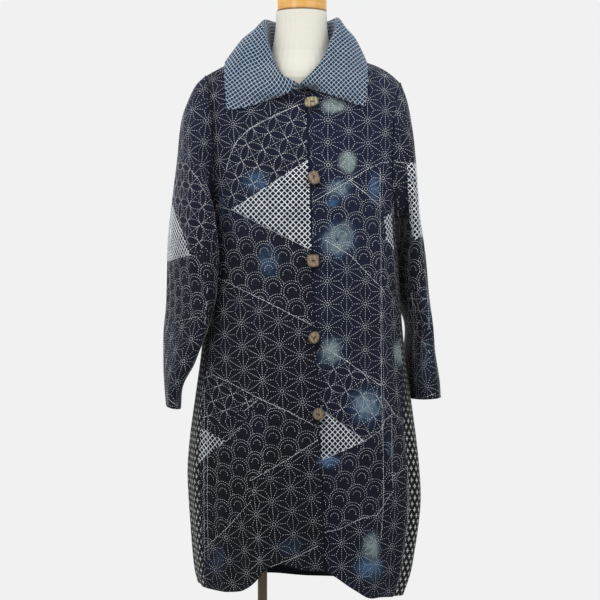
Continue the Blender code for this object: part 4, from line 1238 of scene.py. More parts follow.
def circles(box):
    """Shippo, the seven treasures: circles that each cross four others, and lines through them."""
    r = CIRCLE_RADIUS
    cell = [stitch_arc(np.zeros(2), r, 0, 360)]
    cell.append(stitch_line((-r, 0), (r, 0), CIRCLE_INSET))
    cell.append(stitch_line((0, -r), (0, r), CIRCLE_INSET))
    return repeated(cell, (r, r), (r, -r), box)


def grid(box):
    """Crossed threads both ways on the slant, close enough to look white, with dark holes."""
    half = GRID_STEP / 2
    ends = (half, half), (half, -half)
    return repeated([stitch_line((0, 0), end, pitch=GRID_PITCH) for end in ends], *ends, box)


def inside(px, py, outline):
    """Which points of the picture lie inside an outline."""
    found = np.zeros(px.shape, bool)
    for (x0, y0), (x1, y1) in zip(outline, (*outline[1:], outline[0])):
        if y0 == y1:
            continue
        crosses = (py < y0) != (py < y1)
        found ^= crosses & (px < (x1 - x0) * (py - y0) / (y1 - y0) + x0)
    return found


def sample(grids, a, b):
    """Values of several grids at fractional rows and columns, with their slopes both ways."""
    height, width = grids.shape[:2]
    i = np.clip(a.astype(int), 0, height - 2)
    j = np.clip(b.astype(int), 0, width - 2)
    s, t = (a - i)[:, None], (b - j)[:, None]
    p, q, r, e = grids[i, j], grids[i, j + 1], grids[i + 1, j], grids[i + 1, j + 1]
    value = (1 - s) * ((1 - t) * p + t * q) + s * ((1 - t) * r + t * e)
    along_rows = (1 - s) * (q - p) + s * (e - r)
    up_columns = (1 - t) * (r - p) + t * (e - q)
    return value, up_columns, along_rows


def steps_for(up, along, ways):
    """How far to go up the columns and along the rows to move by the given ways."""
    det = up[:, 0] * along[:, 1] - up[:, 1] * along[:, 0]
    det = np.where(np.abs(det) < 1e-12, 1e-12, det)
    upward = (ways[:, 0] * along[:, 1] - ways[:, 1] * along[:, 0]) / det
    return upward, (up[:, 0] * ways[:, 1] - up[:, 1] * ways[:, 0]) / det


# The search on a cloth: spacing of its first grid, targets in one go, steps, longest step
SEARCH_SPACING = 8
SEARCH_BATCH = 4000
SEARCH_STEPS = 14
LONGEST_STEP = 6


def locate(fields, targets, start=None):
    """Fractional rows and columns where two fields have the wanted values, by Newton's steps."""
    height, width = fields.shape[:2]
    if start is None:
        every = slice(None, None, SEARCH_SPACING)
        sparse = fields[every, every].reshape(-1, 2)
        rows_of, columns_of = np.meshgrid(np.arange(height)[every], np.arange(width)[every], indexing="ij")
        nearest = np.empty(len(targets), int)
        for k in range(0, len(targets), SEARCH_BATCH):
            off = targets[k : k + SEARCH_BATCH, None] - sparse[None]
            nearest[k : k + SEARCH_BATCH] = (off**2).sum(axis=2).argmin(axis=1)
        start = rows_of.ravel()[nearest], columns_of.ravel()[nearest]
    a, b = start[0].astype(float), start[1].astype(float)
    for _ in range(SEARCH_STEPS):
        value, up, along = sample(fields, a, b)
        da, db = steps_for(up, along, targets - value)
        a = np.clip(a + np.clip(da, -LONGEST_STEP, LONGEST_STEP), 0, height - 1)
        b = np.clip(b + np.clip(db, -LONGEST_STEP, LONGEST_STEP), 0, width - 1)
    value, up, along = sample(fields, a, b)
    return a, b, np.linalg.norm(targets - value, axis=1), up, along


def ridges(name, places, ways, normals, length, width, height, material):
    """One object of many stitches: each a little roof whose foot is sunk in the cloth."""
    across = np.cross(normals, ways)
    half_l, half_w = length[:, None] / 2, width[:, None] / 2
    foot, top = places - normals * STITCH_SINK, places + normals * height[:, None]
    corners = []
    for end in (-1, 1):
        corners.append(foot + end * ways * half_l - across * half_w)
        corners.append(top + end * ways * half_l * STITCH_RIDGE)
        corners.append(foot + end * ways * half_l + across * half_w)
    points = np.stack(corners, axis=1).reshape(-1, 3)
    base = np.arange(len(places))[:, None, None] * 6
    faces = base + np.array([[[0, 3, 4, 1], [1, 4, 5, 2]]])
    return new_mesh(name, points, faces.reshape(-1, 4), material, smooth=False)


# Patches as seen from in front, the first that holds a stitch wins: pattern, degrees it is turned
# by, a point that one of its motifs is centred on, outline. The first entry covers what is left.
FRONT_RIGHT_PATCHES = (
    (stars, 4, (290.3, 488.3), None),
    (stars, 3, (243.8, 369.5), ((196, 270), (218, 278), (265, 301), (312, 325), (320, 428), (262, 400),
        (207, 372), (196, 366))),
    (stars, 5, (232.8, 124.0), ((196, 60), (312, 60), (312, 100), (275, 113), (250, 128), (232, 150),
        (226, 170), (222, 203), (196, 206))),
    (grid, 0, (270, 205), ((232, 209), (308, 159), (312, 250))),
    (circles, 27, (274.8, 143.5), ((300, 100), (275, 113), (250, 128), (232, 150), (226, 170),
        (222, 203), (232, 209), (312, 156), (312, 98))),
    (waves, 15, (264, 252), ((203, 204), (232, 209), (312, 250), (315, 325), (218, 278), (198, 268))),
    (circles, 22, (222, 398), ((200, 368), (207, 372), (232, 384), (260, 399), (240, 411), (222, 423),
        (200, 427))),
    (grid, 0, (208, 440), ((198, 427), (225, 441), (198, 463))),
    (waves, -7, (239.8, 469), ((262, 400), (318, 428), (318, 440), (290, 458), (252, 481), (252, 500),
        (226, 529), (196, 552), (190, 540), (190, 470), (225, 442), (240, 428), (258, 402))),
)
FRONT_LEFT_PATCHES = (
    (stars, 0, (365.0, 349.9), None),
    (stars, 0, (348.7, 131.2), ((300, 60), (430, 60), (430, 160), (389, 162), (366, 170), (350, 181),
        (311, 203), (300, 206))),
    (stars, 2, (359.5, 531.1), ((300, 552), (340, 529), (376, 515), (385, 503), (394, 490), (393, 476),
        (411, 464), (430, 464), (430, 610), (300, 610))),
    (grid, 8, (388, 235), ((384, 217), (391, 213), (394, 250), (386, 240))),
    (waves, 13, (356, 222.5), ((305, 206), (350, 181), (380, 206), (395, 225), (402, 302), (385, 292),
        (350, 255), (325, 240), (305, 229))),
    (grid, 0, (335, 435), ((316, 407), (366, 441), (316, 462))),
    (circles, 30, (352, 402), ((312, 341), (345, 360), (382, 386), (382, 430), (366, 441), (316, 407))),
    (waves, -16, (373.9, 490), ((366, 441), (382, 430), (397, 412), (430, 405), (430, 464), (411, 464),
        (393, 476), (394, 490), (385, 503), (376, 515), (340, 529), (300, 552), (316, 462))),
)
SLEEVE_RIGHT_PATCHES = (
    (stars, 4, (203.6, 142.6), None),
    (circles, 40, (194, 214), ((150, 157), (181, 157), (212, 200), (216, 213), (216, 240), (190, 255),
        (173, 205), (150, 190))),
    (grid, 6, (172, 235), ((150, 196), (173, 205), (190, 255), (150, 266))),
    (waves, 12, (195, 285), ((150, 262), (190, 255), (220, 251), (220, 312), (150, 330))),
)
SLEEVE_LEFT_PATCHES = (
    (stars, -6, (413.8, 355.0), None),
    (grid, 8, (412, 200), ((407, 163), (424, 163), (424, 236), (414, 240), (410, 226))),
    (waves, 8, (396, 260), ((384, 217), (404, 217), (408, 300), (384, 300))),
    (waves, 8, (414, 252), ((404, 217), (436, 217), (440, 292), (408, 292))),
    (circles, 4, (424, 314), ((408, 292), (440, 292), (444, 330), (408, 330))),
)
BACK_PATCHES = (
    (stars, -2, (300, 260), None),
    (waves, -14, (300, 110), ((232, 60), (372, 92), (412, 140), (250, 176), (206, 120))),
    (grid, 4, (285, 190), ((250, 176), (318, 160), (300, 236))),
    (circles, -6, (350, 200), ((318, 160), (412, 140), (420, 232), (300, 236))),
    (circles, 5, (215, 360), ((188, 300), (262, 330), (236, 420), (180, 400))),
    (grid, 3, (370, 370), ((356, 330), (404, 384), (332, 392))),
    (waves, 9, (320, 430), ((262, 330), (356, 330), (332, 392), (404, 384), (430, 470), (300, 496),
        (236, 420))),
    (circles, 0, (390, 520), ((340, 486), (430, 470), (430, 560), (372, 600))),
    (waves, -5, (220, 540), ((180, 470), (236, 420), (280, 540), (220, 600), (180, 590))),
)

# Lines of heavy cord as seen from in front
FRONT_RIGHT_CORDS = (
    ((300, 104), (275, 115), (250, 128), (237, 141), (230, 155), (226, 170)),
    ((216, 206), (232, 210)),
    ((232, 210), (308, 160)),
    ((232, 210), (311, 250)),
    ((218, 278), (265, 301), (312, 325)),
    ((207, 372), (232, 384), (262, 400), (287, 411), (317, 427)),
    ((258, 400), (244, 411)),
    ((240, 428), (225, 442)),
    ((318, 440), (290, 458), (250, 481)),
    ((252, 500), (226, 529), (205, 548)),
    ((270, 567), (296, 557), (318, 546)),
)
FRONT_LEFT_CORDS = (
    ((311, 203), (350, 180), (366, 170), (380, 163), (389, 162)),
    ((350, 181), (365, 193), (380, 206)),
    ((325, 240), (350, 255), (385, 292)),
    ((320, 345), (345, 360), (381, 386)),
    ((320, 408), (364, 441)),
    ((320, 461), (364, 441)),
    ((364, 441), (374, 434.5), (381, 430), (385, 420), (394, 413)),
    ((384, 398), (394, 413), (407, 428)),
    ((322, 533), (340, 529), (362, 518), (377, 515), (385, 503), (394, 490)),
    ((393, 476), (405, 469), (411, 464)),
)
SLEEVE_RIGHT_CORDS = (
    ((181, 157), (198, 179), (212, 200), (214, 213)),
    ((190, 255), (199, 253.6)),
    ((172, 323), (188, 319), (204, 314)),
)
SLEEVE_LEFT_CORDS = (
    ((396, 162), (408, 163), (414, 165)),
    ((412, 300), (415, 306), (416, 313)),
    ((425, 311), (421, 318), (416, 326)),
    ((416, 330), (420, 338), (426, 346), (430, 354)),
    ((388, 217), (405, 214)),
)
BACK_CORDS = (
    ((232, 60), (300, 76), (372, 92)),
    ((250, 176), (330, 158), (412, 140)),
    ((250, 176), (300, 236), (420, 232)),
    ((188, 300), (262, 330), (404, 384)),
    ((262, 330), (236, 420), (300, 496)),
    ((180, 470), (236, 420)),
    ((300, 496), (430, 470)),
    ((236, 420), (280, 540), (222, 592)),
)

# Sewing along the seams and the cuffs
FRONT_RIGHT_SEAMS = (
    ((204.5, 385), (203.6, 470), (204.5, 560)),
    ((207.5, 420), (207.2, 500), (208, 560)),
)
FRONT_LEFT_SEAMS = (
    ((407, 366), (408, 440), (407.5, 560)),
    ((380, 168), (380, 215), (381, 260), (381, 340), (381.5, 400), (383, 440), (383.5, 500), (381, 540)),
    ((391.5, 405), (392, 470), (393, 488)),
)
SLEEVE_RIGHT_SEAMS = (
    ((166.5, 398), (175, 404), (183, 407)),
    ((208, 262), (207, 300), (204, 330)),
)
SLEEVE_LEFT_SEAMS = (
    ((414, 398), (426, 397), (436, 393)),
    ((412, 290), (414.5, 330), (413, 350)),
)


def cloth_maps(name):
    """Grids over a cloth: flat metres, places with their outward and picture ones, those in sight."""
    outer, inner, u, v = cloth_faces[name]
    px, py = to_photo(outer)
    normals = unit(np.cross(np.gradient(outer, axis=1), np.gradient(outer, axis=0)))
    normals *= np.sign(np.sum(normals * (outer - inner), axis=-1).mean())
    solid = np.concatenate([outer, normals, px[..., None], py[..., None]], axis=-1)
    picture = np.stack([px, py], axis=-1)
    if name != "back":
        picture[outer[..., 1] > FRONT_LINES_REACH] = -999
    return np.stack([u, v], axis=-1), solid, picture


def patch_stitches(flat, solid, picture, patches, number):
    """The places, with their outward ways, and the directions of the stitches in one patch."""
    kind, tilt, anchor, outline = patches[number]
    whole = outline is None
    within = np.ones(flat.shape[:2], bool) if whole else inside(solid[..., 6], solid[..., 7], outline)
    if not within.any():
        return np.empty((0, 8)), np.empty((0, 3))
    low, high = flat[within].min(axis=0) - PATCH_MARGIN, flat[within].max(axis=0) + PATCH_MARGIN
    row, column_at, _, _, _ = locate(picture, np.array([anchor], float))
    home = sample(flat, row, column_at)[0][0]
    reach = np.hypot(*np.abs(np.stack([low - home, high - home])).max(axis=0))
    places, ways = kind((-reach, -reach, reach, reach))
    lean = math.radians(tilt)
    turned = np.array([[math.cos(lean), math.sin(lean)], [-math.sin(lean), math.cos(lean)]])
    targets, ways = places @ turned + home, ways @ turned
    keep = np.all((targets > low) & (targets < high), axis=1)
    targets, ways = targets[keep], ways[keep]
    a, b, miss, up, along = locate(flat, targets)
    here, rise_way, row_way = sample(solid, a, b)
    da, db = steps_for(up, along, ways)
    direction = unit(rise_way[:, :3] * da[:, None] + row_way[:, :3] * db[:, None])
    good = (miss < MOST_MISS) & (a > EDGE_ROWS) & (a < flat.shape[0] - 1 - EDGE_ROWS)
    good &= (b > EDGE_COLUMNS) & (b < flat.shape[1] - 1 - EDGE_COLUMNS)
    owner = np.zeros(len(targets), int)
    for other, (_, _, _, edge) in enumerate(patches[1:], start=1):
        owner[(owner == 0) & inside(here[:, 6], here[:, 7], edge)] = other
    good &= owner == number
    return here[good], direction[good]


def line_stitches(solid, picture, start, end, pitch, rng):
    """The same for the stitches between two points of a cord or a seam, a little uneven."""
    places, ways = stitch_line(start, end, pitch=pitch)
    targets = places + rng.normal(0, LINE_WANDER, places.shape)
    a, b, miss, _, _ = locate(picture, targets)
    here = sample(solid, a, b)[0]
    nudge = locate(picture, targets + ways, (a, b))
    other = sample(solid, nudge[0], nudge[1])[0]
    good = (miss < MOST_LINE_MISS) & (nudge[2] < MOST_LINE_MISS)
    return here[good], unit((other - here)[good, :3] + 1e-9)


def stitch_panel(name, patches, cords, seams, material, seed):
    """All the stitches on one panel: its patches, its cords and the sewing along its seams."""
    rng = np.random.default_rng(seed)
    flat, solid, picture = cloth_maps(name)
    found = []
    for number, (kind, _, _, _) in enumerate(patches):
        size = GRID_STITCH if kind is grid else FINE_STITCH
        found.append((*patch_stitches(flat, solid, picture, patches, number), *size))
    for lines, (pitch, *size) in ((cords, CORD_STITCH), (seams, SEAM_STITCH)):
        for line in lines:
            for start, end in zip(line[:-1], line[1:]):
                found.append((*line_stitches(solid, picture, start, end, pitch, rng), *size))
    here, ways = (np.concatenate([item[k] for item in found]) for k in (0, 1))
    width, length = (np.repeat([item[k] for item in found], [len(item[0]) for item in found]) for k in (2, 3))
    places, out = here[:, :3], unit(here[:, 3:6])
    ways = unit(ways - out * np.sum(ways * out, axis=1, keepdims=True))
    turn = rng.normal(0, STITCH_TURN, len(ways))[:, None]
    ways = unit(ways + np.cross(out, ways) * turn)
    if name == "front_left":
        shown = places[:, 0] > read(FRONT_EDGE, 1, places[:, 2]) + LAP_MARGIN
        places, ways, out, width, length = (item[shown] for item in (places, ways, out, width, length))
    length = length * rng.uniform(*LENGTH_SPREAD, len(length))
    width = width * rng.uniform(*WIDTH_SPREAD, len(width))
    height = width * STITCH_HEIGHT
    item = ridges(f"{name}_stitches", places, ways, out, length, width, height, material)
    paint_dye_and_painted_light(item, 0)
    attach(item, "root")
    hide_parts(name)
    return item


def thread(name):
    """Off-white sashiko thread, a little greyed, with the twist's fine unevenness, and painted shade towards
    the hem and in the hollows.
    """
    material, tree = new_material(name, 0.8, Sheen_Weight=0.15)
    place = in_object(tree)
    fine = maths(tree, "MULTIPLY", noise(tree, place, 1500.0, 2.0), 0.8)
    tone = maths(tree, "ADD", noise(tree, place, 40.0, 3.0), fine)
    colour = mix(tree, ramp(tree, tone, 0.55, 1.15), "#bac2cc", "#eff3f6")
    # Painted shade: the thread darkens towards the hem, as if lit from above, and in the painted hollows.
    wear_and_shade = maths(tree, "MULTIPLY_ADD", ramp(tree, parts(tree, place)[2], 0.4, 1.45), 0.45, 0.55)
    lit = maths(tree, "SUBTRACT", 1.0, maths(tree, "MULTIPLY", painted(tree, "shadow"), 0.8))
    cover(tree, mix(tree, maths(tree, "MULTIPLY", wear_and_shade, lit), "#2c2f35", colour))
    return material


def make_stitches():
    """The stitches of all five stitched panels, by the panel's name."""
    cotton_thread = thread("off-white sashiko thread")
    return {
        name: stitch_panel(name, patches, cords, seams, cotton_thread, seed)
        for name, patches, cords, seams, seed in (
            ("front_right", FRONT_RIGHT_PATCHES, FRONT_RIGHT_CORDS, FRONT_RIGHT_SEAMS, 1),
            ("front_left", FRONT_LEFT_PATCHES, FRONT_LEFT_CORDS, FRONT_LEFT_SEAMS, 2),
            ("back", BACK_PATCHES, BACK_CORDS, (), 3),
            ("sleeve_right", SLEEVE_RIGHT_PATCHES, SLEEVE_RIGHT_CORDS, SLEEVE_RIGHT_SEAMS, 4),
            ("sleeve_left", SLEEVE_LEFT_PATCHES, SLEEVE_LEFT_CORDS, SLEEVE_LEFT_SEAMS, 5),
        )
    }


stitches = make_stitches()


# The collar: one thicker piece of pale blue cotton, sewn to the neckline, that stands, rolls over
# and falls in two pointed leaves. Its navy diamonds lie as they would on the flat cloth.

COLLAR_CLOTH = 0.0026
COLLAR_SEAM_GAP = 0.0008
NECK_CENTRE_HEIGHT = 1.500

# Collar, from the centre back to the front end: share of the way, degrees round the neckline
# from the front, then x, y and z of the roll and of the leaf's outer edge
COLLAR_RIGHT = (
    (0.00, 180, 0.000, 0.070, 1.520, 0.000, 0.120, 1.430),
    (0.25, 136, 0.052, 0.052, 1.520, 0.094, 0.092, 1.432),
    (0.45, 103, 0.073, 0.014, 1.517, 0.138, 0.034, 1.440),
    (0.60, 80, 0.077, -0.016, 1.508, 0.147, -0.016, 1.438),
    (0.75, 56, 0.069, -0.045, 1.472, 0.147, -0.058, 1.408),
    (0.88, 31, 0.045, -0.078, 1.412, 0.145, -0.078, 1.378),
    (1.00, 6, 0.012, -0.101, 1.388, 0.141, -0.092, 1.349),
)
COLLAR_LEFT = (
    (0.00, 180, 0.000, 0.070, 1.520, 0.000, 0.120, 1.430),
    (0.25, 136, 0.048, 0.052, 1.522, 0.084, 0.090, 1.432),
    (0.45, 103, 0.066, 0.014, 1.521, 0.112, 0.034, 1.440),
    (0.60, 80, 0.067, -0.016, 1.513, 0.119, -0.016, 1.440),
    (0.75, 56, 0.056, -0.046, 1.480, 0.121, -0.058, 1.410),
    (0.88, 31, 0.034, -0.078, 1.428, 0.119, -0.080, 1.380),
    (1.00, 6, 0.006, -0.104, 1.386, 0.116, -0.094, 1.352),
)
ROLL_RADIUS = 0.0055
LEAF_CLEARANCE = 0.0045
# The roll's two sides under its crest, as shares of its radius
ROLL_INNER_DROP = 1.3
ROLL_INNER_REACH = 0.8
ROLL_OUTER_DROP = 1.1
ROLL_OUTER_REACH = 1.2
# The leaf: where it starts past the roll, then share of its way down and how far it bulges there
LEAF_START = 0.012
LEAF_SHAPE = (
    (0.34, 0.0060),
    (0.70, 0.0042),
)
COLLAR_SPANS = 150
COLLAR_ROWS = 72
# Passes that even the collar out down its whole cloth, and along it over the shoulders, where
# those are as a share of the way to the front, how wide
EVEN_PASSES = 8
SHOULDER_PASSES = 160
SHOULDER_AT = 0.48
SHOULDER_WIDTH = 0.1
# How far the roll rises at the sides, where that is as a share of the way to the front, how wide
ROLL_LIFT = 0.006
ROLL_LIFT_AT = 0.5
ROLL_LIFT_WIDTH = 0.24
# How far the leaves' corners are let down on the wearer's right and left, how full their edges
# hang between, and how far the end of the roll on the wearer's left stands inward
LEAF_DROP = (0.0125, 0.008)
LEAF_FULLNESS = (0.068, 0.067)
ROLL_END_SHIFT = 0.011
# Over which part of the way to the front both grow: from this share, over this reach
LEAF_DROP_SPAN = (0.62, 0.38)
ROLL_END_SPAN = (0.80, 0.20)
# The leaf is kept off the coat where it lies in front of this depth
LEAF_IN_FRONT = 0.02
# The diamonds' lattice: from one to the next along the cloth and down it
DIAMOND_STEPS = (0.0099, 0.0089)


def neck_edge(side):
    """One side's neckline as the panels have it: degrees from the front, outer and inner points."""
    front = front_left() if side > 0 else front_right()
    behind = back()
    outer = np.concatenate([front[0][-1], behind[0][-1]])
    inner = np.concatenate([front[1][-1], behind[1][-1]])
    share = side * outer[:, 0] / NECK_HALF_WIDTH
    turn = np.degrees(np.arcsin(np.clip(share, -1, 1)))
    turn = np.where(np.arange(len(outer)) < len(front[0][-1]), turn, 180 - turn)
    inside = (share < 1.001) & (share > -0.001)
    order = np.argsort(turn[inside], kind="stable")
    return turn[inside][order], outer[inside][order], inner[inside][order]


def foot_of_collar(degrees, side, stand):
    """The collar's lower edge, set off from the neckline so that its wall clears the panels' edge."""
    turn, outer, inner = neck_edge(side)
    face, reverse = (
        np.stack([np.interp(degrees, turn, edge[:, k]) for k in range(3)], axis=-1) for edge in (outer, inner)
    )
    seam = (face + reverse) / 2
    along = unit(np.gradient(seam, axis=0))
    away = unit(np.cross(along, face - reverse))
    opening = np.array([0.0, 0.0, NECK_CENTRE_HEIGHT]) - seam
    away = away * np.sign(np.sum(away * opening, axis=-1, keepdims=True))
    facing = unit(np.cross(along, stand - seam))
    lean = np.abs(np.sum(facing * away, axis=-1, keepdims=True))
    return seam + away * (COLLAR_SEAM_GAP + COLLAR_CLOTH * lean)


def front_depth(x, z):
    """How far in front the coat's face lies at x and z, with no folds: 0 above the shoulder."""
    width = by_side(x, BODY, z)
    forward = other_share(x / width, BODY_SQUARENESS)
    top = by_side(x, SHOULDER, np.abs(x))
    share = np.clip((z - CHEST_LEVEL) / (top - CHEST_LEVEL), 0, 1)
    return read(BODY, 3, z) * forward * other_share(share, FRONT_ROLL_SQUARENESS)


def collar_section(seam, roll, edge):
    """Points across the collar: up the stand, over the roll and down the leaf to its edge."""
    leaf = unit(edge - roll)
    away = unit((edge - roll) * np.array([1.0, 1.0, 0.0]))
    up = np.array([0.0, 0.0, 1.0])
    inner = roll + ROLL_RADIUS * (-ROLL_INNER_DROP * up - ROLL_INNER_REACH * away)
    outer = roll + ROLL_RADIUS * (-ROLL_OUTER_DROP * up + ROLL_OUTER_REACH * away)
    side = unit(np.cross(leaf, np.cross(away, leaf)))
    start = outer + leaf * LEAF_START
    bulges = [start + (edge - start) * share + side * bulge for share, bulge in LEAF_SHAPE]
    return [seam, (seam + inner) / 2, inner, roll, outer, start, *bulges, edge]


def collar_half(table, side, share):
    """One half of the collar, from the centre back to its front end."""
    at = column(table, 0)
    roll, edge = (
        np.stack([smooth(share, at, column(table, k)) for k in columns], axis=-1)
        for columns in ((2, 3, 4), (5, 6, 7))
    )
    roll[..., 0] *= side
    edge[..., 0] *= side
    seam = foot_of_collar(smooth(share, at, column(table, 1)), side, roll)
    across = np.stack(collar_section(seam, roll, edge), axis=0)
    leaf = across[4:]
    least = front_depth(leaf[..., 0], leaf[..., 2]) + LEAF_CLEARANCE + COLLAR_CLOTH
    in_front = leaf[..., 1] < LEAF_IN_FRONT
    leaf[..., 1] = np.where(in_front, -np.maximum(-leaf[..., 1], least), leaf[..., 1])
    return across


def collar():
    """The points of the turned-down collar in one piece: stand, roll and leaf."""
    share = np.linspace(0, 1, COLLAR_SPANS // 2 + 1)
    right = collar_half(COLLAR_RIGHT, -1, share)[:, ::-1]
    left = collar_half(COLLAR_LEFT, 1, share)[:, 1:]
    return np.concatenate([right, left], axis=1)


def checked(name):
    """Pale blue cotton with navy diamonds, every other row set off by half a step."""
    material, tree = new_material(name, 0.85, Sheen_Weight=0.1)
    metres = on_cloth(tree)
    split = parts(tree, metres)
    bend = maths(tree, "MULTIPLY_ADD", noise(tree, metres, 150.0, 2.0), 0.22, -0.11)
    across = maths(tree, "ADD", maths(tree, "DIVIDE", split[0], DIAMOND_STEPS[0]), bend)
    down = maths(tree, "DIVIDE", split[1], DIAMOND_STEPS[1])
    near = []
    for join in ("ADD", "SUBTRACT"):
        line = maths(tree, "FRACT", maths(tree, join, across, down))
        near.append(maths(tree, "ABSOLUTE", maths(tree, "SUBTRACT", line, 0.5)))
    diamond = ramp(tree, maths(tree, "MAXIMUM", *near), 0.465, 0.415)
    grain = noise(tree, metres, 700.0, 3.0)
    pale = mix(tree, ramp(tree, noise(tree, metres, 14.0, 3.0), 0.3, 0.7), "#c2ddf4", "#ecf6fd")
    # Worn patches of the pale cloth, darker blue in its grain.
    wear_and_shade = mix(tree, ramp(tree, grain, 0.3, 0.75), pale, "#82acd6")
    dark = mix(tree, ramp(tree, grain, 0.35, 0.7), "#040915", "#0f1d3a")
    # Painted shade darkens the collar in its notch and near its leaves' lower edges.
    shadow = maths(tree, "MULTIPLY", painted(tree, "shadow"), 0.95)
    colour = mix(tree, shadow, mix(tree, diamond, wear_and_shade, dark), "#14171c")
    relief = maths(tree, "SUBTRACT", grain, maths(tree, "MULTIPLY", diamond, 0.8))
    cover(tree, colour, relief, 0.5, 0.0005)
    return material


def meeting(first, one, second, other, hint):
    """The point at two distances from two points of the plane, on the side of the hint."""
    gap = second - first
    apart = np.linalg.norm(gap)
    along = (one**2 - other**2 + apart**2) / (2 * apart)
    off = math.sqrt(max(one**2 - along**2, 0))
    foot = first + gap / apart * along
    square = np.array([-gap[1], gap[0]]) / apart
    return max((foot + square * off, foot - square * off), key=lambda p: float(p @ hint))


def unrolled(points, roll, edge):
    """Where the points of a rolled strip lie when it is spread out flat, from its middle outward."""
    width = points.shape[1]
    middle = width // 2
    top, low = points[roll], points[edge]
    fall = np.linalg.norm(low - top, axis=1)
    flat_top, flat_low = np.zeros((width, 2)), np.zeros((width, 2))
    flat_low[middle] = (0, -fall[middle])
    for way in (1, -1):
        for k in range(middle + way, width if way > 0 else -1, way):
            prior = k - way
            ruling = (flat_low[prior] - flat_top[prior]) * way
            hint = np.array([-ruling[1], ruling[0]])
            reach_top = np.linalg.norm(top[k] - top[prior])
            reach_low = np.linalg.norm(top[k] - low[prior])
            flat_top[k] = meeting(flat_top[prior], reach_top, flat_low[prior], reach_low, hint)
            step = np.linalg.norm(low[k] - low[prior])
            ruling = (flat_low[prior] - flat_top[k]) * way
            hint = np.array([-ruling[1], ruling[0]])
            flat_low[k] = meeting(flat_top[k], fall[k], flat_low[prior], step, hint)
    down = run_of(points, 0)
    down = down - down[roll]
    way = (flat_low - flat_top) / np.linalg.norm(flat_low - flat_top, axis=1, keepdims=True)
    flat = flat_top[None] + down[..., None] * way[None]
    return flat[..., 0], flat[..., 1]


def drawn_finer(points, count):
    """A line of points redrawn with more of them, rounded at its corners."""
    step = np.linalg.norm(np.diff(points, axis=0), axis=-1).mean(axis=1)
    at = np.concatenate([[0], np.cumsum(step)])
    fine = np.linspace(0, at[-1], count)
    k = np.clip(np.searchsorted(at, fine) - 1, 0, len(at) - 2)
    run = (at[k + 1] - at[k])[:, None, None]
    t = (fine - at[k])[:, None, None] / run
    slopes = np.gradient(points, at, axis=0)
    return cubic(t, points[k], points[k + 1], run * slopes[k], run * slopes[k + 1])


def let_down(points, roll):
    """Lowers the free edges of the two leaves towards their points, keeping them on the coat."""
    height, width = points.shape[:2]
    leaf = np.clip((np.arange(height) - roll) / (height - 1 - roll), 0, 1)[:, None]
    share = np.abs(np.linspace(-1, 1, width))[None]
    front = np.clip((share - LEAF_DROP_SPAN[0]) / LEAF_DROP_SPAN[1], 0, 1) ** 1.5
    wearers_right = np.linspace(-1, 1, width)[None] < 0
    fuller = np.where(wearers_right, LEAF_FULLNESS[0], LEAF_FULLNESS[1] * leaf) * leaf * (1 - leaf)
    drop = (np.where(wearers_right, *LEAF_DROP) * leaf + fuller) * front
    end = np.clip((share - ROLL_END_SPAN[0]) / ROLL_END_SPAN[1], 0, 1) ** 2
    end = end * np.clip(1 - 1.6 * leaf, 0, 1)
    points = points.copy()
    points[..., 2] -= drop
    points[..., 0] -= np.where(wearers_right, 0, ROLL_END_SHIFT) * end
    lower = points[roll:]
    least = front_depth(lower[..., 0], lower[..., 2]) + LEAF_CLEARANCE + COLLAR_CLOTH
    ahead = np.clip((-lower[..., 1] - 0.01) / 0.03, 0, 1)
    lower[..., 1] -= np.maximum(least + lower[..., 1], 0) * ahead
    return points


def even_out(points, roll):
    """Takes the sharp turns out of the collar, evens it over the shoulders and lifts its roll."""
    for _ in range(EVEN_PASSES):
        points[1:-1] = (points[:-2] + 2 * points[1:-1] + points[2:]) / 4
    share = np.abs(np.linspace(-1, 1, points.shape[1]))[1:-1]
    at_shoulder = 0.5 * np.clip(1.5 - np.abs(share - SHOULDER_AT) / SHOULDER_WIDTH, 0, 1)[None, :, None]
    for _ in range(SHOULDER_PASSES):
        points[:, 1:-1] += at_shoulder * ((points[:, :-2] + points[:, 2:]) / 2 - points[:, 1:-1])
    lift = np.exp(-(((share - ROLL_LIFT_AT) / ROLL_LIFT_WIDTH) ** 2))
    over_roll = np.sin(np.pi * np.clip(np.arange(len(points)) / (2 * roll), 0, 1))
    points[:, 1:-1, 2] += ROLL_LIFT * over_roll[:, None] * lift
    return points


def make_collar():
    """The collar, redrawn finer, evened out and let down before it gets its thickness."""
    points = drawn_finer(collar(), COLLAR_ROWS)
    roll = int(points[:, points.shape[1] // 2, 2].argmax())
    points = let_down(even_out(points, roll), roll)
    normals = unit(np.cross(np.gradient(points, axis=1), np.gradient(points, axis=0)))
    metres = unrolled(points, roll, len(points) - 1)
    cloth = checked("pale blue dotted cotton")
    item = shell("collar_cloth", points, points - normals * COLLAR_CLOTH, cloth, metres=metres)
    paint_dye_and_painted_light(item, 0)
    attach(item, "root")
    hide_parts("collar")


make_collar()


# The neck facing: the small dark reverse of the fronts' neck edge, which shows in the collar's
# notch. It is a thin curved patch of the indigo cotton that lies close to the form; it also stands
# for the shade in the notch, and painted shade darkens it almost to black.

# Its reach across and up the form, from the centre and the ground, and its thickness
FACING_ACROSS = (-0.008, 0.034)
FACING_HEIGHTS = (1.358, 1.383)
FACING_CLOTH = 0.0012
# Its middle, how steeply it leans, how much it is bent, and small waves: depth, across and up
FACING_MIDDLE = (0.012, -0.079, 1.376)
FACING_LEAN = 0.42
FACING_BEND = 2.0
FACING_WAVES = (0.0005, 420, 300)


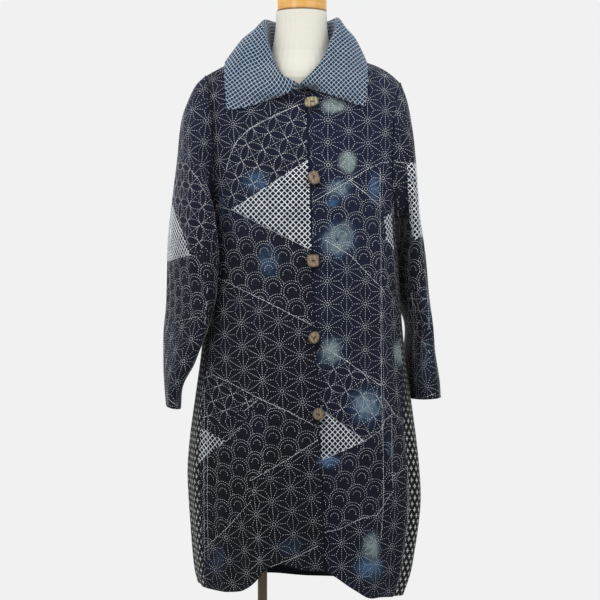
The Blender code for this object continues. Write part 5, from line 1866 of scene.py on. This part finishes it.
def make_facing():
    """The patch of the fronts' reverse in the collar's notch, darkened almost to black by painted shade."""
    x, z = np.meshgrid(np.linspace(*FACING_ACROSS, 22), np.linspace(*FACING_HEIGHTS, 13))
    middle_x, middle_y, middle_z = FACING_MIDDLE
    depth, across, up = FACING_WAVES
    y = middle_y + FACING_LEAN * (z - middle_z) + FACING_BEND * (x - middle_x) ** 2
    y = y + depth * np.sin(across * x + up * z)
    outer = np.stack([x, y, z], axis=-1)
    item = shell("neck_facing", outer, outer + np.array([0.0, FACING_CLOTH, 0.0]), indigo_cotton)
    paint_dye_and_painted_light(item, 0.2)
    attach(item, "root")


make_facing()


# The buttons: slices of whittled wood, no two alike, worn dark at the rim, each sewn on with a
# bar of dark thread. Each is a rounded outline with a bevelled edge and a domed face.

# Light and dark colour of the wood, degrees that the thread slants, corners in millimetres
BUTTONS = (
    ("#b0a685", "#62573e", 0, ((-11, 8.5), (3, 11.5), (10, 9.7), (13.6, 3), (12, -4), (1, -10.3),
        (-7, -11.3), (-13.6, -8.7), (-14, 2))),
    ("#98846e", "#5c4b38", 75, ((-0.5, 13.6), (7, 11.3), (11.5, -1), (11, -10), (1, -13.8), (-6.5, -11),
        (-13.2, 2), (-8, 9.7))),
    ("#937e69", "#584634", 0, ((-12.5, 10), (-5, 12.4), (9, 12), (10.5, 2), (9.8, -10.5), (-4, -12),
        (-11, -9), (-13.4, 2))),
    ("#8c7757", "#4c3b27", 55, ((0, 13), (7, 10.5), (10, 3), (6.5, -6), (0.5, -12), (-8, -8.7),
        (-12.3, -1.2), (-9.5, 8))),
    ("#827159", "#4a3b29", -30, ((-2, 13), (8, 9.7), (12.3, 2), (9, -6.5), (1.2, -11.5), (-7.5, -7.5),
        (-11.3, -1.2), (-8, 8))),
)
OUTLINE_POINTS = 96
# Rings from the back of a button over its edge to the middle of its face: size, height
BUTTON_RINGS = (
    (1.0, -1.0),
    (1.0, 0.3),
    (0.96, 0.8),
    (0.88, 1.0),
    (0.6, 1.06),
    (0.3, 1.1),
    (0.02, 1.1),
)
# Neighbours on each side that round the outline's corners off, and how its face is dented
ROUNDING = 4
DENT = 0.0003
DENT_WAVES = (700, 500)
# Threads of the bar: radius, sides of their round, half length, from one to the next, height of
# their arch, how deep its ends go in, and how far it starts off the face
THREAD_RADIUS = 0.00042
THREAD_SIDES = 8
THREAD_REACH = 0.0036
THREAD_STEP = 0.0006
THREAD_ARCH = 0.0006
THREAD_SINK = 0.0003
THREAD_LIFT = 0.0001


def whittled(name, light, dark):
    """Bare wood with growth rings, darker in the grain and burnt at the rim."""
    material, tree = new_material(name, 0.55)
    place = in_object(tree)
    turned = stretched(tree, place, (1, 1, 0.35), Rotation=(0.5, 0.3, 0.9))
    inputs = {"Vector": turned, "Scale": 80.0, "Distortion": 11.0, "Detail": 4.0}
    rings = add(tree, "ShaderNodeTexWave", inputs).outputs["Fac"]
    cloud = noise(tree, place, 190.0, 4.0)
    tone = maths(tree, "MULTIPLY_ADD", rings, 0.45, maths(tree, "MULTIPLY", cloud, 0.8))
    colour = mix(tree, ramp(tree, tone, 0.15, 1.05), dark, light)
    uneven = maths(tree, "MULTIPLY_ADD", cloud, 0.9, -0.45)
    burnt = ramp(tree, maths(tree, "ADD", painted(tree, "rim"), uneven), 0.5, 1.0)
    cover(tree, mix(tree, maths(tree, "MULTIPLY", burnt, 0.85), colour, "#231a12"), tone, 0.5, 0.0006)
    return material


def black_thread(name):
    """Dark sewing thread, a little uneven in tone."""
    material, tree = new_material(name, 0.85)
    cover(tree, mix(tree, noise(tree, in_object(tree), 1400.0, 2.0), "#0a0806", "#1c1510"))
    return material


def wrapped_rings(index):
    """The faces between rings of points that close on themselves."""
    after = np.roll(index, -1, axis=1)
    return np.stack([index[:-1], after[:-1], after[1:], index[1:]], axis=-1).reshape(-1, 4)


def tubes(name, lines, material):
    """One object of round threads along lines of points."""
    points, faces, base = [], [], 0
    turn = np.linspace(0, 2 * np.pi, THREAD_SIDES + 1)[:-1, None]
    for line in lines:
        ahead = unit(np.gradient(line, axis=0))
        aside = unit(np.cross(ahead, np.array([0.11, 0.17, 0.98])))
        above = np.cross(aside, ahead)
        ring = aside[:, None] * np.cos(turn) + above[:, None] * np.sin(turn)
        points.append((line[:, None] + THREAD_RADIUS * ring).reshape(-1, 3))
        count = len(line) * THREAD_SIDES
        faces.append(wrapped_rings(base + np.arange(count).reshape(len(line), THREAD_SIDES)))
        base += count
    return new_mesh(name, np.concatenate(points), np.concatenate(faces), material)


def face_of(item):
    """The middle and the outward direction of a button's front."""
    co = np.array([list(item.matrix_world @ vert.co) for vert in item.data.vertices])
    middle = co.mean(axis=0)
    _, _, ways = np.linalg.svd(co - middle)
    out = ways[2] * (-1 if ways[2][1] > 0 else 1)
    return middle, out, ((co - middle) @ out).max()


def carved(name, corners, middle, across, above, out, height, material):
    """A slice of wood on a rounded outline, given by its corners in millimetres."""
    corners = np.array([*corners, corners[0]], float) / 1000
    run = np.concatenate([[0], np.cumsum(np.linalg.norm(np.diff(corners, axis=0), axis=1))])
    at = np.linspace(0, run[-1], OUTLINE_POINTS + 1)[:-1]
    rim = np.stack([np.interp(at, run, corners[:, k]) for k in (0, 1)], axis=-1)
    rim = sum(np.roll(rim, k, axis=0) for k in range(-ROUNDING, ROUNDING + 1)) / (2 * ROUNDING + 1)
    shares, levels = column(BUTTON_RINGS, 0), column(BUTTON_RINGS, 1) * height
    flat = shares[:, None, None] * rim[None]
    dent = np.sin(flat[..., 0] * DENT_WAVES[0] + 2.0 * flat[..., 1] * DENT_WAVES[1])
    dent = DENT * dent * (levels > 0)[:, None]
    points = middle + flat[..., :1] * across + flat[..., 1:] * above
    points = points + (levels[:, None] + dent)[..., None] * out
    faces = wrapped_rings(np.arange(points.shape[0] * OUTLINE_POINTS).reshape(-1, OUTLINE_POINTS))
    item = new_mesh(name, points.reshape(-1, 3), faces, material)
    paint(item, "rim", np.repeat(shares**2, OUTLINE_POINTS))
    return item


def make_buttons():
    """The five buttons on the places of the frame's own, with their bars of thread."""
    black = black_thread("dark sewing thread")
    for number, (light, dark, slant, corners) in enumerate(BUTTONS, start=1):
        middle, out, height = face_of(bpy.data.objects[f"button_{number}"])
        across = unit(np.cross(out, [0.0, 0.0, 1.0]))
        across *= np.sign(across[0])
        above = np.cross(across, out)
        above *= np.sign(above[2])
        wood = whittled(f"whittled wood {number}", light, dark)
        item = carved(f"button_{number}_wood", corners, middle, across, above, out, height, wood)
        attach(item, "root")
        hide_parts(f"button_{number}")
        lean = math.radians(slant)
        one = across * math.cos(lean) + above * math.sin(lean)
        other = above * math.cos(lean) - across * math.sin(lean)
        top = middle + out * (height * BUTTON_RINGS[-1][1] + THREAD_LIFT)
        t = np.linspace(-1, 1, 9)[:, None]
        arch = out * THREAD_ARCH * (1 - t**4) - out * THREAD_SINK
        middle_line = top + one * THREAD_REACH * t + arch
        lines = [middle_line + other * THREAD_STEP * k for k in (-1, 0, 1)]
        bar = tubes(f"button_{number}_thread", lines, black)
        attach(bar, "root")


make_buttons()


# The button loops: dark navy cord in a tight twist, each fixed under the lapped edge and laid
# round its button. They are the frame's own solids in a material made here.
def waves_of(tree, where, scale, distortion, direction):
    """Parallel bands, from dark to light."""
    inputs = {"Vector": where, "Scale": scale, "Distortion": distortion}
    return add(tree, "ShaderNodeTexWave", inputs, bands_direction=direction).outputs["Fac"]


def corded(name):
    """Dark navy cord, laid in a tight twist."""
    material, tree = new_material(name, 0.85, Sheen_Weight=0.1)
    twist = waves_of(tree, in_object(tree), 320.0, 1.5, "DIAGONAL")
    cover(tree, mix(tree, twist, "#0e0f15", "#272b3a"), twist, 0.7)
    return material


def wear(node, material):
    """Gives a CAD object a material in place of its own."""
    item = bpy.data.objects[node]
    item.data.materials.clear()
    item.data.materials.append(material)
    return item


cord = corded("dark cotton cord")
for number in range(1, 6):
    wear(f"button_loop_{number}", cord)


# The dress form: a cream knitted cover on its body, a turned and varnished wooden cap, and a
# steel pole on a round steel base. They are the frame's own solids in materials made here.
def jersey(name):
    """The form's cream knitted cover, a little warmer in patches."""
    material, tree = new_material(name, 0.8, Sheen_Weight=0.15)
    place = in_object(tree)
    knit = waves_of(tree, place, 300.0, 0.8, "Z")
    colour = mix(tree, noise(tree, place, 9.0, 4.0), "#dbd9cb", "#e6e4d8")
    cover(tree, mix(tree, maths(tree, "MULTIPLY", knit, 0.12), colour, "#c6bfae"), knit, 0.25, 0.0003)
    return material


def turned_wood(name):
    """Orange-tan varnished wood, its grain running round the cap, with painted shade in the groove at its
    foot.
    """
    material, tree = new_material(name, 0.35, Coat_Weight=0.25)
    place = in_object(tree)
    grain = noise(tree, stretched(tree, place, (6, 6, 90)), 3.0, 6.0, Distortion=0.6)
    colour = mix(tree, ramp(tree, grain, 0.3, 0.7), "#cd8f3a", "#e6b560")
    # Painted shade: a dark band in the groove at the cap's foot.
    low = maths(tree, "MULTIPLY", ramp(tree, parts(tree, place)[2], 1.5345, 1.5322), 0.75)
    cover(tree, mix(tree, low, colour, "#4c3018"), grain, 0.2)
    return material


def brushed(name):
    """Brushed steel, a little browned."""
    material, tree = new_material(name, 0.38, 1.0)
    hair = noise(tree, stretched(tree, in_object(tree), (500, 500, 12)), 1.0, 4.0)
    cover(tree, mix(tree, hair, "#40382f", "#685d50"))
    rough = maths(tree, "MULTIPLY_ADD", hair, 0.25, 0.25)
    tree.links.new(rough, tree.nodes["Principled BSDF"].inputs["Roughness"])
    return material


wear("form_body", jersey("cream form cover"))
wear("neck_cap", turned_wood("turned orange wood"))
steel = brushed("brushed steel")
wear("pole", steel)
wear("base", steel)


bpy.context.view_layer.update()
